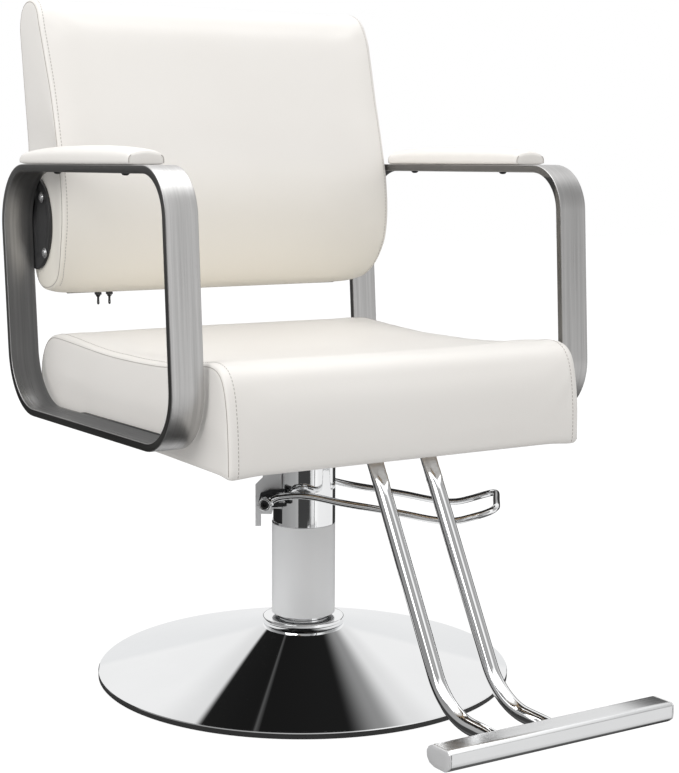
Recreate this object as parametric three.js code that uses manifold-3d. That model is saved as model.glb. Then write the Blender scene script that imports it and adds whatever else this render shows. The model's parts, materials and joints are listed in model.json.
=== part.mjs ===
// Hair-salon styling chair on a hydraulic column: millimetres, +Z up, -Y the chair's front,
// +X the sitter's left. The origin is on the floor under the middle of the round base.
import * as THREE from 'three';
import { mergeVertices } from 'three/addons/utils/BufferGeometryUtils.js';
import Module from 'manifold-3d';

const wasm = await Module();
wasm.setup();

// ---- driving dimensions -------------------------------------------------------------------
const GAP = 0.3; // left between pieces that touch

const BASE_R = 290; // round base
const DOME_TOP_R = 57; // where the cone of the base ends under the collar
const DOME_TOP_Z = 70.3;
const PLATE_R = 271; // steel weight under the dome
const COLLAR_Z = [70.6, 80.1];

const GUIDE_R = [31.5, 35.5]; // fixed tube inside the column, inner and outer
const GUIDE_TOP = 300;
const ROD_R = 21.5;
const SLEEVE_R = [40, 44.7]; // satin sleeve and pump head
const SLEEVE_Z = [85.4, 214.9];
const HEAD_TOP = 356.1; // top of the head's flange, under the mounting plate
const FLANGE_R = 75;

const LEVER_TURN = 36.5; // degrees from +X towards -Y that the foot lever points
const PIVOT = [-45, 254.5]; // lever pivot: distance along the lever's direction, height
const LEVER_HALF = 73.3; // half the distance between the lever's two legs
const LEVER_END = 269; // reach of the lever's cross bar from the column's axis
const LEVER_R = 4.8;
const LEVER_ROLL = [0.7, -0.028]; // rise of both legs, and fall per millimetre towards the far one
const HUB_R = 9;
const EAR = [36.8, 40.3]; // bracket ears, inner and outer distance from the column's mid plane
const WINDOW_T = -26; // the head's rear is cut flat here

const SEAT_HALF = 263.8;
const SEAT_BOTTOM = 348.6;
const POCKET = { x: 246.3, y: [-262.3, 253], top: 381 }; // recess under the cushion for the board
const BOARD_Z = [362.7, 380.7];
const DISH = 22; // how far the seat's middle lies below its side seams

const ARM_IN = 272; // inner edge of the arm bars
const ARM_W = 43.1; // bar width
const ARM_T = 10.5; // bar thickness
const ARM_TOP = 716.6; // outer front top corner height
const PAD_W = 50;
const PAD_Y = [-123, 243];
const PAD_SLANT = 38; // the pad's rear end runs forwards by this much at its inner edge

const BACK_HALF = 266.5; // rear part of the back cushion, between the arm loops
const ZIP = { y: 300, z: 526.6, half: 228 };

const TUBE_X = 40.4; // footrest tubes
const TUBE_R = 10.2;
const BAR_HALF = 161; // foot bar

// ---- helpers ------------------------------------------------------------------------------
const radians = THREE.MathUtils.degToRad;
const lerpTable = (table, u) => {
  const i = table.findIndex(([a]) => a >= u);
  if (i < 0) return table.at(-1)[1];
  if (i === 0) return table[0][1];
  const [[a, p], [b, q]] = [table[i - 1], table[i]];
  return p + ((q - p) * (u - a)) / (b - a);
};

// Turns a geometry's faces outwards and drops everything but its positions.
function closed(geometry) {
  geometry.deleteAttribute('normal');
  geometry.deleteAttribute('uv');
  const g = mergeVertices(geometry, 1e-4);
  const p = g.attributes.position;
  const i = g.index.array;
  const v = [0, 1, 2].map(() => new THREE.Vector3());
  let volume = 0;
  for (let k = 0; k < i.length; k += 3) {
    v.forEach((corner, n) => corner.fromBufferAttribute(p, i[k + n]));
    volume += v[0].dot(v[1].cross(v[2]));
  }
  if (volume < 0) for (let k = 0; k < i.length; k += 3) [i[k], i[k + 1]] = [i[k + 1], i[k]];
  return g;
}

function toSolid(geometry) {
  const g = closed(geometry);
  return new wasm.Manifold(
    new wasm.Mesh({
      numProp: 3,
      vertProperties: new Float32Array(g.attributes.position.array),
      triVerts: new Uint32Array(g.index.array),
    }),
  );
}

function fromSolid(made) {
  const { vertProperties, triVerts } = made.getMesh();
  const g = new THREE.BufferGeometry();
  g.setAttribute('position', new THREE.BufferAttribute(vertProperties, 3));
  g.setIndex(new THREE.BufferAttribute(triVerts, 1));
  return g;
}

const cut = (body, ...tools) => fromSolid(tools.reduce((a, b) => a.subtract(toSolid(b)), toSolid(body)));
const join = (first, ...rest) => fromSolid(rest.reduce((a, b) => a.add(toSolid(b)), toSolid(first)));
const common = (a, b) => fromSolid(toSolid(a).intersect(toSolid(b)));

// A closed profile of [radius, height] points turned about +Z.
function revolve(profile, segments = 48) {
  const points = [...profile, profile[0]].map(([r, z]) => new THREE.Vector2(r, z));
  return closed(new THREE.LatheGeometry(points, segments).rotateX(Math.PI / 2));
}

// A flat outline pulled along one axis. Its points are [y, z], [x, z] or [x, y], in that order.
function pull(outline, axis, from, to, hole) {
  const shape = new THREE.Shape(outline.map(([a, b]) => new THREE.Vector2(a, b)));
  if (hole) shape.holes.push(new THREE.Path(hole.map(([a, b]) => new THREE.Vector2(a, b))));
  const g = new THREE.ExtrudeGeometry(shape, { depth: to - from, bevelEnabled: false });
  const [X, Y, Z] = [new THREE.Vector3(1, 0, 0), new THREE.Vector3(0, 1, 0), new THREE.Vector3(0, 0, 1)];
  const m = new THREE.Matrix4();
  if (axis === 'x') m.makeBasis(Y, Z, X).setPosition(from, 0, 0);
  if (axis === 'y') m.makeBasis(X, Z, Y.clone().negate()).setPosition(0, to, 0);
  if (axis === 'z') m.makeBasis(X, Y, Z).setPosition(0, 0, from);
  return closed(g.applyMatrix4(m));
}

const box = (x, y, z) =>
  new THREE.BoxGeometry(x[1] - x[0], y[1] - y[0], z[1] - z[0]).translate(
    (x[0] + x[1]) / 2, (y[0] + y[1]) / 2, (z[0] + z[1]) / 2,
  );

// A rod between two points.
function rod(a, b, r, segments = 16) {
  const from = new THREE.Vector3(...a);
  const along = new THREE.Vector3(...b).sub(from);
  const turn = new THREE.Quaternion().setFromUnitVectors(
    new THREE.Vector3(0, 1, 0), along.clone().normalize(),
  );
  return new THREE.CylinderGeometry(r, r, along.length(), segments)
    .applyQuaternion(turn)
    .translate(...from.addScaledVector(along, 0.5).toArray());
}

// Rings of equal point count, skinned into one solid with a fan over each end. The fan's middle
// keeps the ring's mean height and depth, and its width follows widthAt where that is given.
function skin(rings, widthAt) {
  const n = rings[0].length;
  const points = rings.flat();
  const faces = [];
  for (let r = 0; r + 1 < rings.length; r++)
    for (let k = 0; k < n; k++) {
      const [a, b] = [r * n + k, r * n + ((k + 1) % n)];
      faces.push(a, b, b + n, a, b + n, a + n);
    }
  for (const [ring, flip] of [[0, true], [rings.length - 1, false]]) {
    const middle = [0, 1, 2].map((c) => rings[ring].reduce((s, p) => s + p[c], 0) / n);
    if (widthAt) middle[0] = Math.sign(middle[0]) * widthAt(middle[2]);
    points.push(middle);
    for (let k = 0; k < n; k++) {
      const pair = [ring * n + k, ring * n + ((k + 1) % n)];
      faces.push(...(flip ? pair.reverse() : pair), points.length - 1);
    }
  }
  const g = new THREE.BufferGeometry();
  g.setAttribute('position', new THREE.Float32BufferAttribute(points.flat(), 3));
  g.setIndex(faces);
  return closed(g);
}

// A polygon whose corners are rounded with their own radii; corners are [a, b, radius].
function rounded(corners, steps = 6) {
  const out = [];
  corners.forEach(([a, b, r], i) => {
    const here = new THREE.Vector2(a, b);
    const [before, after] = [-1, 1].map((d) => {
      const [u, v] = corners.at((i + d) % corners.length);
      return new THREE.Vector2(u, v).sub(here).normalize();
    });
    if (!r) return out.push([a, b]);
    const half = Math.acos(THREE.MathUtils.clamp(before.dot(after), -1, 1)) / 2;
    const centre = before.clone().add(after).normalize().multiplyScalar(r / Math.sin(half)).add(here);
    const [start, end] = [before, after].map((d) =>
      here.clone().addScaledVector(d, r / Math.tan(half)).sub(centre),
    );
    const turn = Math.atan2(start.cross(end), start.dot(end));
    for (let k = 0; k <= steps; k++) {
      const p = start.clone().rotateAround(new THREE.Vector2(), (turn * k) / steps).add(centre);
      out.push([p.x, p.y]);
    }
  });
  return out;
}

// Moves each side of a counter-clockwise polygon inwards; corners keep one centre.
function inset(corners, by) {
  return corners.map(([a, b, r = 0], i) => {
    const here = new THREE.Vector2(a, b);
    const [before, after] = [-1, 1].map((d) => {
      const [u, v] = corners.at((i + d) % corners.length);
      return new THREE.Vector2(u, v).sub(here).normalize();
    });
    const half = Math.acos(THREE.MathUtils.clamp(before.dot(after), -1, 1)) / 2;
    const bisector = before.clone().add(after);
    if (bisector.length() < 1e-6) bisector.set(-after.y, after.x);
    bisector.normalize();
    const side = before.cross(after) < 0 ? 1 : -1;
    here.addScaledVector(bisector, (side * by) / Math.sin(half));
    return [here.x, here.y, Math.max(r - by, 0)];
  });
}

const group = new THREE.Group();
const COLOURS = {
  chrome: [0xd9dadc, 0.06, 1],
  satin: [0xc9cacc, 0.35, 1],
  brushed: [0xa9a8a6, 0.4, 1],
  dark: [0x2a2a2b, 0.5, 0.6],
  black: [0x1b1b1c, 0.6, 0.2],
  rubber: [0x161616, 0.85, 0],
  plastic: [0x2c2c2e, 0.6, 0],
  plywood: [0xc9a877, 0.75, 0],
  leather: [0xefebe4, 0.5, 0],
  cloth: [0x232325, 0.95, 0],
};

function add(name, finish, geometry, place = group) {
  const [color, roughness, metalness] = COLOURS[finish];
  const g = geometry.toNonIndexed();
  g.computeVertexNormals();
  const mesh = new THREE.Mesh(g, new THREE.MeshStandardMaterial({ color, roughness, metalness }));
  mesh.name = name;
  place.add(mesh);
}

const SIDES = [['r', -1], ['l', 1]]; // sitter's right is -X

// Mirrors a geometry to the given side of the chair; it is built on +X.
const onSide = (geometry, side) => (side > 0 ? geometry : closed(geometry.clone().scale(-1, 1, 1)));

// ---- base ---------------------------------------------------------------------------------
function base() {
  add('base_disc', 'chrome', revolve([
    [40, DOME_TOP_Z], [DOME_TOP_R, DOME_TOP_Z], [172, 39.6], [BASE_R - 2.5, 10.6], [BASE_R, 9.6],
    [BASE_R, 7.3], [BASE_R - 5, 7.3], [172, 36], [DOME_TOP_R - 1, DOME_TOP_Z - 3.2], [40, DOME_TOP_Z - 3.2],
  ], 60));
  add('base_edge_trim', 'rubber', revolve([
    [PLATE_R + 1, 0], [BASE_R - 1.5, 0], [BASE_R, 1.5], [BASE_R, 7], [PLATE_R + 1, 7],
  ], 60));
  add('base_weight_plate', 'dark', new THREE.CylinderGeometry(PLATE_R, PLATE_R, 8, 72)
    .rotateX(Math.PI / 2).translate(0, 0, 4));
  add('guide_tube', 'chrome', revolve([
    [GUIDE_R[0], 8.3], [62, 8.3], [62, 15], [GUIDE_R[1], 15], [GUIDE_R[1], GUIDE_TOP], [GUIDE_R[0], GUIDE_TOP],
  ], 40));
  add('guide_bush', 'plastic', revolve([
    [ROD_R + GAP, 268], [GUIDE_R[0] - GAP, 268], [GUIDE_R[0] - GAP, GUIDE_TOP + GAP],
    [GUIDE_R[1], GUIDE_TOP + GAP], [GUIDE_R[1], GUIDE_TOP + 3], [ROD_R + GAP, GUIDE_TOP + 3],
  ], 32));
  add('base_collar', 'chrome', revolve([
    [36.2, COLLAR_Z[0]], [57.3, COLLAR_Z[0]], [57.3, COLLAR_Z[1] - 0.8], [56.5, COLLAR_Z[1]],
    [37, COLLAR_Z[1]], [36.2, COLLAR_Z[1] - 0.8],
  ], 40));
}

// ---- lift: piston rod and the washer the seat turns on -------------------------------------
function lift() {
  add('piston_rod', 'chrome', revolve([
    [0, 30], [ROD_R, 30], [ROD_R, 335], [13.5, 335], [13.5, 346], [0, 346],
  ], 32));
  add('thrust_washer', 'plastic', revolve([[13.8, 335.3], [35, 335.3], [35, 339], [13.8, 339]], 32));
}

// ---- column, turned so that its own X runs along the foot lever ----------------------------
const column = new THREE.Group();
column.rotation.z = radians(-LEVER_TURN);
group.add(column);

function pumpColumn() {
  const [inner, outer] = SLEEVE_R;
  add('pump_sleeve', 'satin', revolve([
    [inner, SLEEVE_Z[0]], [outer - 0.8, SLEEVE_Z[0]], [outer, SLEEVE_Z[0] + 0.8], [outer, SLEEVE_Z[1]],
    [inner, SLEEVE_Z[1]],
  ], 48), column);
  const shell = revolve([
    [inner, 215.2], [outer, 215.2], [outer, 348], [FLANGE_R, 348], [FLANGE_R, HEAD_TOP],
    [13.8, HEAD_TOP], [13.8, 339.3], [inner, 339.3],
  ], 48);
  add('pump_head', 'chrome', cut(shell, box([-80, WINDOW_T], [-60, 60], [219, 348])), column);
  const crescent = revolve([[36, 219.5], [43, 219.5], [43, 238], [36, 238]], 48);
  add('pump_block', 'dark', common(crescent, box([-60, WINDOW_T - GAP], [-60, 60], [219, 239])), column);
}

function footLever() {
  const [tp, zp] = PIVOT;
  const ear = rounded([
    [-63, 216], [-55.5, 216], [-55.5, 233.3], [-40.5, 233.3], [-38, 241.4], [WINDOW_T - GAP, 241.4],
    [WINDOW_T - GAP, 347.7], [-40, 347.7], [-40, 298], [-63, 275],
  ]);
  const ears = [-1, 1].map((s) => pull(ear, 'y', s > 0 ? EAR[0] : -EAR[1], s > 0 ? EAR[1] : -EAR[0]));
  const web = box([-40, -37], [-EAR[1] + 0.1, EAR[1] - 0.1], [268, 347.7]);
  const across = (r, half, n) => rod([tp, -half, zp], [tp, half, zp], r, n);
  add('lever_bracket', 'satin', cut(join(ears[0], ears[1], web), across(HUB_R + GAP, 60, 28)), column);

  const leg = [
    [tp + 5, zp + 2.4], [-28, 261], [-13, 263.8], [2, 265], [14, 264.4], [26, 262.7], [60, 256],
    [100, 250], [140, 243.8], [172, 238], [190, 235.4], [204, 234.4], [218, 235.6], [236, 240.4],
    [LEVER_END - 16, 245.8], [LEVER_END - 5.5, 249.6], [LEVER_END, 251.6],
  ];
  const near = leg.map(([t, z], i) => {
    const inwards = i === leg.length - 1 ? 16 : i === leg.length - 2 ? 4.5 : 0;
    return new THREE.Vector3(t, -(LEVER_HALF - inwards), z);
  });
  const bar = [-50, 0, 50].map((y) => new THREE.Vector3(LEVER_END + 1.5, y, 252));
  const far = near.map((p) => new THREE.Vector3(p.x, -p.y, p.z)).reverse();
  const points = [...near, ...bar, ...far];
  points.forEach((p) => (p.z += p.x > tp + 8 ? LEVER_ROLL[0] + LEVER_ROLL[1] * p.y : 0));
  const line = new THREE.CatmullRomCurve3(points, false, 'centripetal');
  const disc = new THREE.Shape().absarc(0, 0, LEVER_R, 0, 2 * Math.PI);
  const bent = closed(new THREE.ExtrudeGeometry(disc, {
    steps: 64, curveSegments: 6, bevelEnabled: false, extrudePath: line,
  }));
  const hubHalf = LEVER_HALF + LEVER_R;
  add('pump_lever', 'chrome', cut(
    join(bent, across(HUB_R, hubHalf, 28)), across(6, hubHalf + 5, 20),
  ), column);

  const hexagon = new THREE.CylinderGeometry(3.6, 3.6, 8, 6);
  for (const [side, s] of SIDES) {
    const plug = rod([tp, s * (hubHalf - 0.4), zp], [tp, s * (hubHalf - 24), zp], 6 - GAP, 20);
    const socket = hexagon.clone().translate(tp, s * (hubHalf - 2), zp);
    add(`lever_end_screw_${side}`, 'dark', cut(plug, socket), column);
  }

  const prong = [
    [tp - 13, zp - 7], [tp + 12, zp - 8.4], [tp + 27, zp - 6.5], [tp + 27, zp - 2.5], [tp + 16, zp - 3.5],
    [tp + 16, zp + 12.5], [tp + 24, zp + 13.5], [tp + 24, zp + 17], [tp + 4, zp + 16.5], [tp - 9, zp + 11],
  ];
  add('lever_fork', 'dark', cut(
    pull(prong, 'y', -54, -47), rod([tp, -56, zp], [tp, -46, zp], HUB_R + GAP, 28),
  ), column);
}

// ---- seat ---------------------------------------------------------------------------------
// Side view of the cushion at its side seams, [y, z], counter-clockwise from the lower front.
const SEAT_SIDE = [
  [-275, 348.6], [-190, 348.6], [-60, 348.6], [80, 348.6], [190, 348.6], [254, 348.6], [272, 351.5],
  [288, 359], [302, 369.5], [312, 382], [318, 396], [320, 411], [317, 427], [309, 443], [297, 456.5],
  [280, 466], [262, 469], [220, 468.5], [157, 466], [71, 463.4], [-20, 464.6], [-90, 467.5],
  [-150, 473], [-200, 480], [-222, 482.4], [-238, 481.8], [-250, 478.4], [-260, 471.5], [-268, 459],
  [-273, 443], [-276.5, 425], [-279, 398], [-280.5, 360], [-279.5, 351.5],
];
const seatDip = (y) => Math.max(0, Math.min(1, (250 - Math.abs(y + 5)) / 150));

function cushionRings(outline, halfAt, stations, dip) {
  return stations.map(([s, by]) =>
    inset(outline, by).map(([y, z]) => [s * halfAt(y, z), y, z - dip(s, y, z)]),
  );
}

function seat() {
  const stations = [
    [-1, 5], [-0.991, 1.2], [-0.975, 0], [-0.85, 0], [-0.6, 0], [-0.3, 0], [0, 0],
    [0.3, 0], [0.6, 0], [0.85, 0], [0.975, 0], [0.991, 1.2], [1, 5],
  ];
  const dip = (s, y, z) => (z < 440 ? 0 : DISH * (1 - Math.abs(s) ** 2.2) * seatDip(y));
  const cushion = skin(cushionRings(SEAT_SIDE, () => SEAT_HALF, stations, dip));
  const pocket = box([-POCKET.x, POCKET.x], POCKET.y, [340, POCKET.top]);
  const studHoles = SIDES.flatMap(([, s]) => STUD_Y.map((y) => stud(y, 3 + GAP, s)));
  add('seat_cushion', 'leather', cut(cushion, pocket, ...studHoles));

  const corner = (x, y, r) => rounded([[-x, y[0], r], [x, y[0], r], [x, y[1], r], [-x, y[1], r]], 3);
  const boltHoles = BOLTS.map(([x, y]) => rod([x, y, 340], [x, y, 376.3], 4 + GAP, 16));
  add('seat_board', 'plywood', cut(
    pull(corner(POCKET.x - GAP, [POCKET.y[0] + GAP, POCKET.y[1] - GAP], 12), 'z', ...BOARD_Z),
    ...boltHoles, ...studHoles,
  ));
  add('seat_mount_plate', 'dark', cut(
    pull(corner(100, [-120, 120], 14), 'z', HEAD_TOP + GAP, BOARD_Z[0] - GAP), ...boltHoles,
  ));
  BOLTS.forEach(([x, y], i) => {
    const head = new THREE.CylinderGeometry(7.5, 7.5, 5.6, 6).rotateX(Math.PI / 2).translate(x, y, 353.3);
    add(`mount_bolt_${i + 1}`, 'dark', join(head, rod([x, y, 353], [x, y, 376], 4, 16)));
  });
  const cover = pull(corner(POCKET.x - GAP, [-240, POCKET.y[1] - GAP], 8), 'z', 349, 349.9);
  add('seat_dust_cover', 'cloth', cut(cover, box([-104, 104], [-260, 124], [345, 352])));
}

const BOLTS = [[-85, -98], [85, -98], [85, 98], [-85, 98]];

// ---- arm loops ----------------------------------------------------------------------------
// Outer side view of a loop, [y, z, corner radius], counter-clockwise from the lower front.
const LOOP = [[-237.7, 370.6, 80], [307, 357.2, 92], [335.5, 712.3, 86], [-215.4, ARM_TOP, 64]];
const onLine = ([y0, z0], [y1, z1], y) => z0 + ((z1 - z0) * (y - y0)) / (y1 - y0);
const loopBottom = (y) => onLine(LOOP[0], LOOP[1], y);
const loopTop = (y) => onLine(LOOP[3], LOOP[2], y);
const STUD_Y = [-80, 120];
const stud = (y, r, s) => {
  const z = loopBottom(y) + ARM_T / 2;
  return rod([s * 222, y, z], [s * (ARM_IN + 25), y, z], r, 12);
};
const PAD_SCREW_Y = [-60, 165];

function armPad(mirror) {
  const half = PAD_W / 2;
  const long = PAD_Y[1] - PAD_Y[0];
  const stations = [
    [0, 0.68, 0.955], [2, 0.74, 0.985], [7, 0.8, 1], [40, 0.9, 1], [100, 0.98, 1], [long / 2, 1, 1],
    [long - 100, 0.98, 1], [long - 40, 0.9, 1], [long - 7, 0.8, 1], [long - 2, 0.74, 0.985],
    [long, 0.68, 0.955],
  ];
  const section = [
    [-half + 1.5, 0], [half - 1.5, 0], [half, 1.5], [half, 12], [half - 2, 16.5], [half - 6.5, 19.5],
    [half - 14, 22], [0, 23.4], [-half + 14, 22], [-half + 6.5, 19.5], [-half + 2, 16.5], [-half, 12],
    [-half, 1.5],
  ];
  const middle = ARM_IN + ARM_W / 2 + 0.4;
  const rings = stations.map(([d, tall, wide]) => {
    const slant = PAD_SLANT * THREE.MathUtils.smoothstep(d, long - 110, long - 10);
    return section.map(([x, z]) => {
      const y = PAD_Y[0] + d - slant * (0.5 - x / PAD_W);
      return [middle + x * wide, y, loopTop(y) + GAP + z * tall];
    });
  });
  return onSide(skin(rings), mirror);
}

function arms() {
  for (const [side, s] of SIDES) {
    const outer = rounded(LOOP, 10);
    const inner = rounded(inset(LOOP, ARM_T), 10);
    const screws = PAD_SCREW_Y.map((y) => {
      const z = loopTop(y);
      return [s * (ARM_IN + ARM_W / 2), y, z];
    });
    const screwHoles = screws.map(([x, y, z]) => rod([x, y, z - 14], [x, y, z + 12.3], 2 + GAP, 10));
    const studHoles = STUD_Y.map((y) => stud(y, 3 + GAP, s));
    const loop = pull(outer, 'x', ARM_IN, ARM_IN + ARM_W, inner);
    add(`arm_frame_${side}`, 'brushed', cut(onSide(loop, s), ...screwHoles, ...studHoles));
    add(`arm_pad_${side}`, 'leather', cut(armPad(s), ...screwHoles));
    screws.forEach(([x, y, z], i) => {
      const under = z - ARM_T - GAP - 0.1;
      const head = rod([x, y, under - 3], [x, y, under], 4.5, 14);
      add(`arm_pad_screw_${side}_${i + 1}`, 'dark', join(head, rod([x, y, under - 1], [x, y, z + 12], 2, 10)));
    });
    const [a, b] = [-112, 152];
    const strip = [[a, loopBottom(a) + 0.5], [b, loopBottom(b) + 0.5], [b, loopBottom(b) + 10],
      [a, loopBottom(a) + 10]];
    const spacer = onSide(pull(strip, 'x', SEAT_HALF + GAP, ARM_IN - GAP), s);
    add(`arm_spacer_${side}`, 'dark', cut(spacer, ...studHoles));
    STUD_Y.forEach((y, i) => add(`arm_stud_${side}_${i + 1}`, 'satin', stud(y, 3, s)));
  }
}

// ---- back ---------------------------------------------------------------------------------
// Side view of the back cushion at its side seams, [y, z], counter-clockwise from the bottom.
const BACK_SIDE = [
  [280, 531], [303, 531], [315, 535.5], [325, 545.5], [332, 560], [338, 582], [343, 620], [346, 670],
  [348, 730], [348, 790], [349, 850], [351, 890], [351, 914], [347.5, 929], [340, 939], [329, 944.8],
  [315, 946.5], [301, 944], [289.5, 938], [280, 928.5], [273.5, 916], [265, 896], [250.5, 850],
  [239.5, 813], [226, 767], [214.5, 722], [207.5, 692], [204, 665], [203.2, 640], [205.5, 615],
  [211.5, 592], [221, 571], [236, 551.5], [256, 537.5],
];
const BACK_FRONT_WIDTH = [[531, 266], [560, 270.5], [600, 272], [680, 271.4], [716, 271.6], [745, 273],
  [800, 275.5], [850, 277], [905, 279], [947, 276.5]];
const BACK_REAR_WIDTH = [[531, 265], [575, BACK_HALF], [742, BACK_HALF], [800, 270], [850, 272.5],
  [905, 274.5], [947, 272]];
function backHalf(y, z) {
  const across = THREE.MathUtils.smoothstep(y, 210, 250);
  return THREE.MathUtils.lerp(lerpTable(BACK_FRONT_WIDTH, z), lerpTable(BACK_REAR_WIDTH, z), across);
}
// Two bolts a side, [y, z].
const BACK_BOLTS = [[282, 665], [274, 586]];

function back() {
  const stations = [
    [-1, 6], [-0.992, 1.5], [-0.97, 0], [-0.85, 0], [-0.4, 0], [0.4, 0], [0.85, 0], [0.97, 0],
    [0.992, 1.5], [1, 6],
  ];
  const sag = (s, y, z) => (z < 600 ? 4 * (1 - Math.abs(s) ** 10) * ((600 - z) / 69) : 0);
  const rings = cushionRings(BACK_SIDE, backHalf, stations, sag);
  const sideRing = (ring, s) => ring.map(([, y, z]) => {
    const [yIn, zIn] = [y + 0.45 * (300 - y), z + 0.45 * (THREE.MathUtils.clamp(z, 575, 905) - z)];
    return [s * backHalf(yIn, zIn), yIn, zIn];
  });
  const all = [sideRing(rings[0], -1), ...rings, sideRing(rings.at(-1), 1)];
  const cushion = skin(all, (z) => backHalf(300, z));
  const hole = (s, y, z) => rod([s * 238, y, z], [s * 280, y, z], 3 + GAP, 12);
  const holes = SIDES.flatMap(([, s]) => BACK_BOLTS.map(([y, z]) => hole(s, y, z)));
  add('back_cushion', 'leather', cut(cushion, ...holes));

  const curve = Array.from({ length: 17 }, (_, k) => {
    const a = radians(90 + (180 * k) / 16);
    return [315 + 61 * Math.cos(a), 628 + 68 * Math.sin(a)];
  });
  const plate = [...curve, [320, 562], [331, 694]];
  for (const [side, s] of SIDES) {
    const flat = onSide(pull(plate, 'x', BACK_HALF + GAP, ARM_IN - GAP), s);
    add(`back_bracket_${side}`, 'black', cut(flat, ...holes));
    BACK_BOLTS.forEach(([y, z], i) => {
      const shank = rod([s * 240, y, z], [s * 273, y, z], 3, 12);
      const head = revolve([[0, 0], [6.5, 0], [6.3, 1.4], [4.6, 2.8], [0, 3.4]], 20)
        .rotateY((s * Math.PI) / 2).translate(s * ARM_IN, y, z);
      add(`back_bolt_${side}_${i + 1}`, 'satin', join(shank, head));
    });
  }
}

function zip() {
  const { y, z, half } = ZIP;
  add('zip_tape', 'black', join(
    box([-half, half], [y - 9, y + 9], [z - 0.9, z]), box([-half, half], [y - 2, y + 2], [z - 2.5, z - 0.4]),
  ));
  const arc = (x, middle, r, n) => Array.from({ length: n + 1 }, (_, k) => {
    const a = Math.PI * (1 + k / n);
    return [x + r * Math.cos(a), middle + r * Math.sin(a)];
  });
  for (const [side, x] of [['r', -179], ['l', -161]]) {
    const under = z - 6.2;
    const bail = pull(arc(x, under + 0.1, 3.8, 12), 'y', y - 0.7, y + 0.7, arc(x, under - 0.1, 2.3, 8));
    const body = box([x - 4, x + 4], [y - 4, y + 4], [under, z - 2.8]);
    add(`zip_slider_${side}`, 'black', join(body, bail));

    const top = under - 0.4;
    const outline = rounded([
      [y - 2.6, top - 7.4], [y + 2.6, top - 7.4], [y + 3, top, 0.6], [y - 3, top, 0.6],
    ], 2);
    const ring = rounded([
      [y - 3.8, top - 14.4, 3.1], [y + 3.8, top - 14.4, 3.1], [y + 2.6, top - 6.8], [y - 2.6, top - 6.8],
    ], 5);
    const tab = join(...[outline, ring].map((side2d) => pull(side2d, 'x', x - 0.7, x + 0.7)));
    const slot = box([x - 2, x + 2], [y - 1.5, y + 1.5], [top - 6.1, top - 1.5]);
    const eye = pull(rounded([
      [y - 2.1, top - 12.8, 1.8], [y + 2.1, top - 12.8, 1.8], [y + 1.4, top - 7.8, 1], [y - 1.4, top - 7.8, 1],
    ], 4), 'x', x - 2, x + 2);
    add(`zip_pull_${side}`, 'black', cut(tab, slot, eye));
  }
}

// ---- footrest -----------------------------------------------------------------------------
// One side's tube: its centre line [y, z] with half width and half thickness at each station.
function footTube(s) {
  const slope = radians(59.7);
  const line = [];
  const station = (y, z, angle, wide, thick) => line.push({ y, z, angle, wide, thick });
  const [flatW, flatT] = [10.6, 4];
  station(-132, 358.2, 0, flatW, flatT);
  station(-226.2, 358.2, 0, flatW, flatT);
  const [upR, lowR] = [25, 88];
  for (let k = 1; k <= 4; k++) {
    const a = (slope * k) / 4;
    station(-226.2 - upR * Math.sin(a), 358.2 - upR * (1 - Math.cos(a)), a, flatW, flatT);
  }
  const down = [[-247.8, 345.8], [-412.9, 63]];
  const along = (u) => down[0].map((v, i) => v + (down[1][i] - v) * u);
  station(...along(0.045), slope, flatW, flatT);
  station(...along(0.07), slope, 10, 6.6);
  station(...along(0.1), slope, TUBE_R, TUBE_R);
  station(...along(0.45), slope, TUBE_R, TUBE_R);
  const tangent = lowR * Math.tan(slope / 2);
  for (let k = 0; k <= 8; k++) {
    const a = slope * (1 - k / 8);
    station(-412.9 - tangent + lowR * Math.sin(a), 63 + lowR * (1 - Math.cos(a)), a, TUBE_R, TUBE_R);
  }
  station(-508, 62.5, 0, TUBE_R, TUBE_R);
  station(-520, 64.6, 0, 10.6, 7);
  station(-534, 67, 0, 11, 2.4);
  station(-566, 67, 0, 11, 2.4);
  const rings = line.map(({ y, z, angle, wide, thick }) =>
    Array.from({ length: 16 }, (_, k) => {
      const a = (2 * Math.PI * k) / 16;
      const power = thick < 5 ? 0.5 : thick < 9 ? 0.75 : 1;
      const [u, v] = [Math.cos(a), Math.sin(a)].map((c, i) =>
        Math.sign(c) * Math.abs(c) ** power * (i ? thick : wide));
      return [s * TUBE_X + u, y - v * Math.sin(angle), z + v * Math.cos(angle)];
    }),
  );
  return skin(rings);
}

// Section of the foot bar, [y, z], counter-clockwise from the lower front.
const BAR = [
  [-581, 70.2], [-560, 69.8], [-550.5, 72.2], [-545.6, 78], [-544.8, 84.5], [-548.2, 90.3],
  [-555, 94], [-583.5, 95], [-588.3, 91.5], [-589.2, 84.6], [-588.2, 76],
];

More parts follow.
